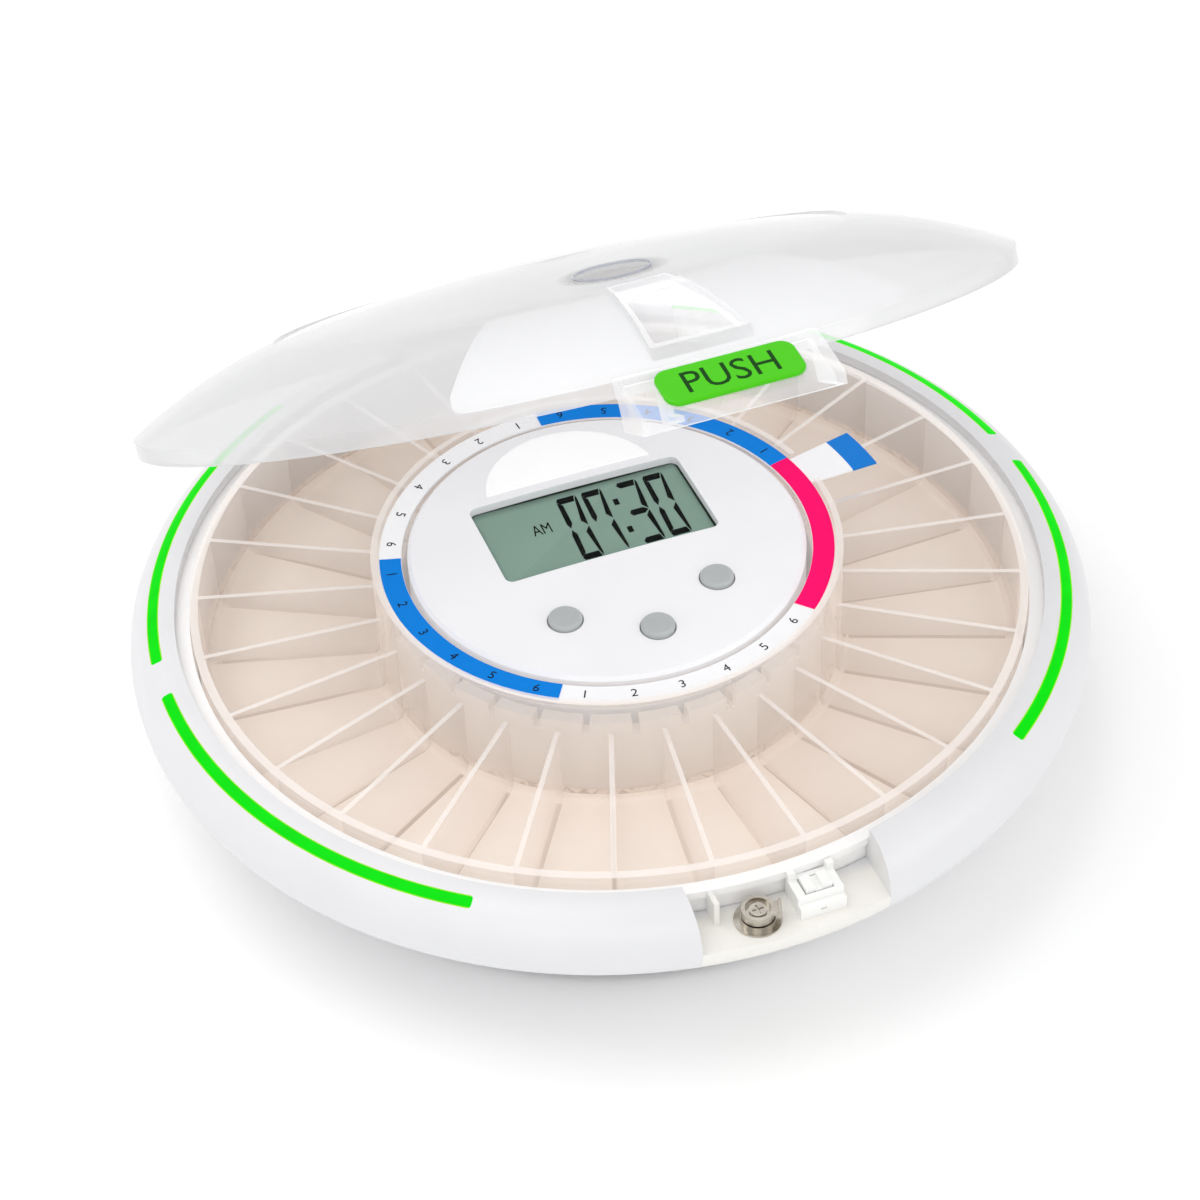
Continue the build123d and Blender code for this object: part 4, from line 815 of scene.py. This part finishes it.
class DISPENSER_OT_lid(Operator):
    """Clear lid with its plate, opening, tab and raised push label"""

    bl_idname = "dispenser.lid"
    bl_label = "Lid"

    def execute(self, context):
        c = colours()
        radius = sizes().cup_radius
        cup = lid_turn() @ cup_wall(radius)[0], radius * 1.35, 0.2
        # Painted light and shade: the lid, tab, plate, opening and push label give off light (glow) though
        # they are no lamps, and the lid's colour darkens edge-on (edge_painted_shade) as painted shade.
        dome = clear_moulding("lid_clear", c.lid, haze=0.45, edge_haze=0.72, shine=0.35, mirror=0.1,
                              gloss=0.09, cloud=40.0, painted_glow=0.1, edge_painted_shade=0.74, specular=0.1, spot=cup)
        dress(dome, "lid_dome")
        tab = clear_moulding("tab_clear", c.plate, haze=0.24, edge_haze=0.65, shine=0.7, mirror=0.2,
                             gloss=0.08, painted_glow=0.1)
        dress(tab, "lid_tab")
        dress(moulded("plate_white", c.plate, gloss=0.3, painted_glow=0.42), "lid_plate")
        chute = clear_moulding("chute_clear", c.plate, haze=0.4, edge_haze=0.65, shine=0.4, gloss=0.1,
                               painted_glow=0.06)
        dress(chute, "lid_chute")
        push = moulded("push_green", c.push, gloss=0.25, coat=0.12, fine=0.6, cloud=5.0, painted_glow=0.05,
                       shine=0.2)
        dress(push, "push_label")
        seat(push_words(), "lid", ink("push_ink", c.push_ink))
        # Painted reflection: the grey, darker edge-on, stands for the dark glints of the polished cup edges.
        polished = clear_moulding("cup_edge_clear", c.glint, haze=0.45, edge_haze=0.9, shine=0.2, mirror=0.8,
                                  gloss=0.05, cloud=4.0, edge_painted_shade=0.75)
        seat(cup_edges(), "lid", polished)
        return {"FINISHED"}


class DISPENSER_OT_power(Operator):
    """Cells, contacts, circuit board, buzzer and power inlet"""

    bl_idname = "dispenser.power"
    bl_label = "Power and electronics"

    def execute(self, context):
        for number in range(1, CELLS + 1):
            dress(cell_wrap(f"cell_wrap_{number}"), f"battery_{number}")
        dress(plated("contact_nickel", (0.62, 0.60, 0.55), gloss=0.3), "contacts_front", "contacts_rear")
        dress(moulded("board_green", (0.01, 0.09, 0.03), gloss=0.3, fine=0.5, cloud=3.0), "main_board")
        black = moulded("component_black", (0.012, 0.012, 0.013), gloss=0.45)
        dress(black, "tact_switches", "buzzer", "power_jack")
        return {"FINISHED"}


class DISPENSER_OT_fixings(Operator):
    """Feet, case screws and hinge pin"""

    bl_idname = "dispenser.fixings"
    bl_label = "Feet and fixings"

    def execute(self, context):
        c = colours()
        dress(rubber("foot_rubber", c.rubber), *[f"foot_{i}" for i in range(1, CORNERS + 1)])
        steel = plated("screw_steel", (0.55, 0.54, 0.52), gloss=0.3)
        dress(steel, "hinge_pin", *[f"case_screw_{i}" for i in range(1, CORNERS + 1)])
        return {"FINISHED"}


def cell_wrap(name):
    """Plain dark sleeve of a cell with bare metal at both ends."""
    material, tree = blank_material(name)
    _, y, _ = parts(tree)
    sleeve_end = 24.2 * MM
    bare = rescale(tree, maths(tree, "ABSOLUTE", y), sleeve_end, sleeve_end + 0.2 * MM, 0.0, 1.0)
    streak = grain(tree, 0.8 * MM, 3.0)
    tint = blend(tree, bare, (0.02, 0.02, 0.024), (0.6, 0.58, 0.54))
    shader = principled(tree, Base_Color=tint, Metallic=bare, Roughness=vary(tree, streak, 0.25, 0.4),
                        Normal=relief(tree, streak, 0.01 * MM, 0.3))
    finish_shader(tree, shader)
    return material


# ---------------------------------------------------------------- stage

def soft_light(name, place_at, size, power):
    """Square soft light that is turned to the middle of the dispenser."""
    target = (0, 0, 0.03)
    data = bpy.data.lights.new(name, "AREA")
    data.shape = "RECTANGLE"
    data.size, data.size_y = size, size
    data.energy = power
    lamp = bpy.data.objects.new(name, data)
    lamp.location = place_at
    lamp.rotation_euler = (Vector(target) - Vector(place_at)).to_track_quat("-Z", "Y").to_euler()
    bpy.context.scene.collection.objects.link(lamp)


def studio_floor(colour):
    """Plain sheet that the dispenser stands on, with a very fine paper tooth."""
    half_width = 3.0
    under_feet = 0.1 * MM
    form = bmesh.new()
    bmesh.ops.create_grid(form, x_segments=1, y_segments=1, size=half_width)
    floor = mesh_object("studio_floor", form)
    floor.location.z = -under_feet
    material, tree = blank_material("floor_paper")
    tooth = grain(tree, 2.0 * MM)
    shader = principled(tree, Base_Color=rgba(colour), Roughness=vary(tree, tooth, 0.85, 0.95))
    finish_shader(tree, shader)
    floor.data.materials.append(material)
    return floor


class DISPENSER_OT_stage(Operator):
    """Pale floor, soft studio light and camera"""

    bl_idname = "dispenser.stage"
    bl_label = "Stage"

    def execute(self, context):
        scene = context.scene
        s = scene.dispenser_stage
        studio_floor(s.floor)
        soft_light("key_light", (-0.35, 0.25, 1.1), 0.9, s.key)
        soft_light("front_light", (-0.45, -1.0, 0.75), 0.8, s.front)
        soft_light("fill_light", (0.8, -0.7, 0.6), 0.6, s.fill)
        world = bpy.data.worlds.new("studio_room")
        world.use_nodes = True
        background = world.node_tree.nodes["Background"]
        background.inputs["Color"].default_value = (1.0, 1.0, 1.0, 1.0)
        background.inputs["Strength"].default_value = s.sky
        scene.world = world
        scene.view_settings.view_transform = "Standard"
        data = bpy.data.cameras.new("camera")
        data.lens = s.lens / MM
        data.sensor_width = SENSOR
        data.clip_end = 20.0
        camera = bpy.data.objects.new("camera", data)
        camera.location = s.camera_place
        camera.rotation_euler = Euler(s.camera_turn, "XYZ")
        scene.collection.objects.link(camera)
        scene.camera = camera
        return {"FINISHED"}


# ---------------------------------------------------------------- panel and registration

PIECES = (
    DISPENSER_OT_housing, DISPENSER_OT_light_bars, DISPENSER_OT_tray, DISPENSER_OT_drive,
    DISPENSER_OT_dosage_ring, DISPENSER_OT_display, DISPENSER_OT_keys, DISPENSER_OT_lock_and_latch,
    DISPENSER_OT_lid, DISPENSER_OT_power, DISPENSER_OT_fixings, DISPENSER_OT_stage,
)
GROUPS = {
    "dispenser_colours": DispenserColours,
    "dispenser_sizes": DispenserSizes,
    "dispenser_stage": DispenserStage,
}


class DISPENSER_PT_panel(Panel):
    """Buttons and values of the pill dispenser"""

    bl_label = "Pill Dispenser"
    bl_idname = "DISPENSER_PT_panel"
    bl_space_type = "VIEW_3D"
    bl_region_type = "UI"
    bl_category = "Dispenser"

    def draw(self, context):
        for piece in PIECES:
            self.layout.operator(piece.bl_idname)
        for name, group in GROUPS.items():
            box = self.layout.box()
            for value in group.__annotations__:
                box.prop(getattr(context.scene, name), value)


def register():
    for group in GROUPS.values():
        bpy.utils.register_class(group)
    for piece in PIECES:
        bpy.utils.register_class(piece)
    bpy.utils.register_class(DISPENSER_PT_panel)
    for name, group in GROUPS.items():
        setattr(bpy.types.Scene, name, PointerProperty(type=group))


def unregister():
    for name in GROUPS:
        delattr(bpy.types.Scene, name)
    for made in (DISPENSER_PT_panel, *PIECES, *GROUPS.values()):
        bpy.utils.unregister_class(made)


def main():
    register()
    for piece in PIECES:
        group, name = piece.bl_idname.split(".")
        getattr(getattr(bpy.ops, group), name)()


if __name__ == "__main__":
    main()
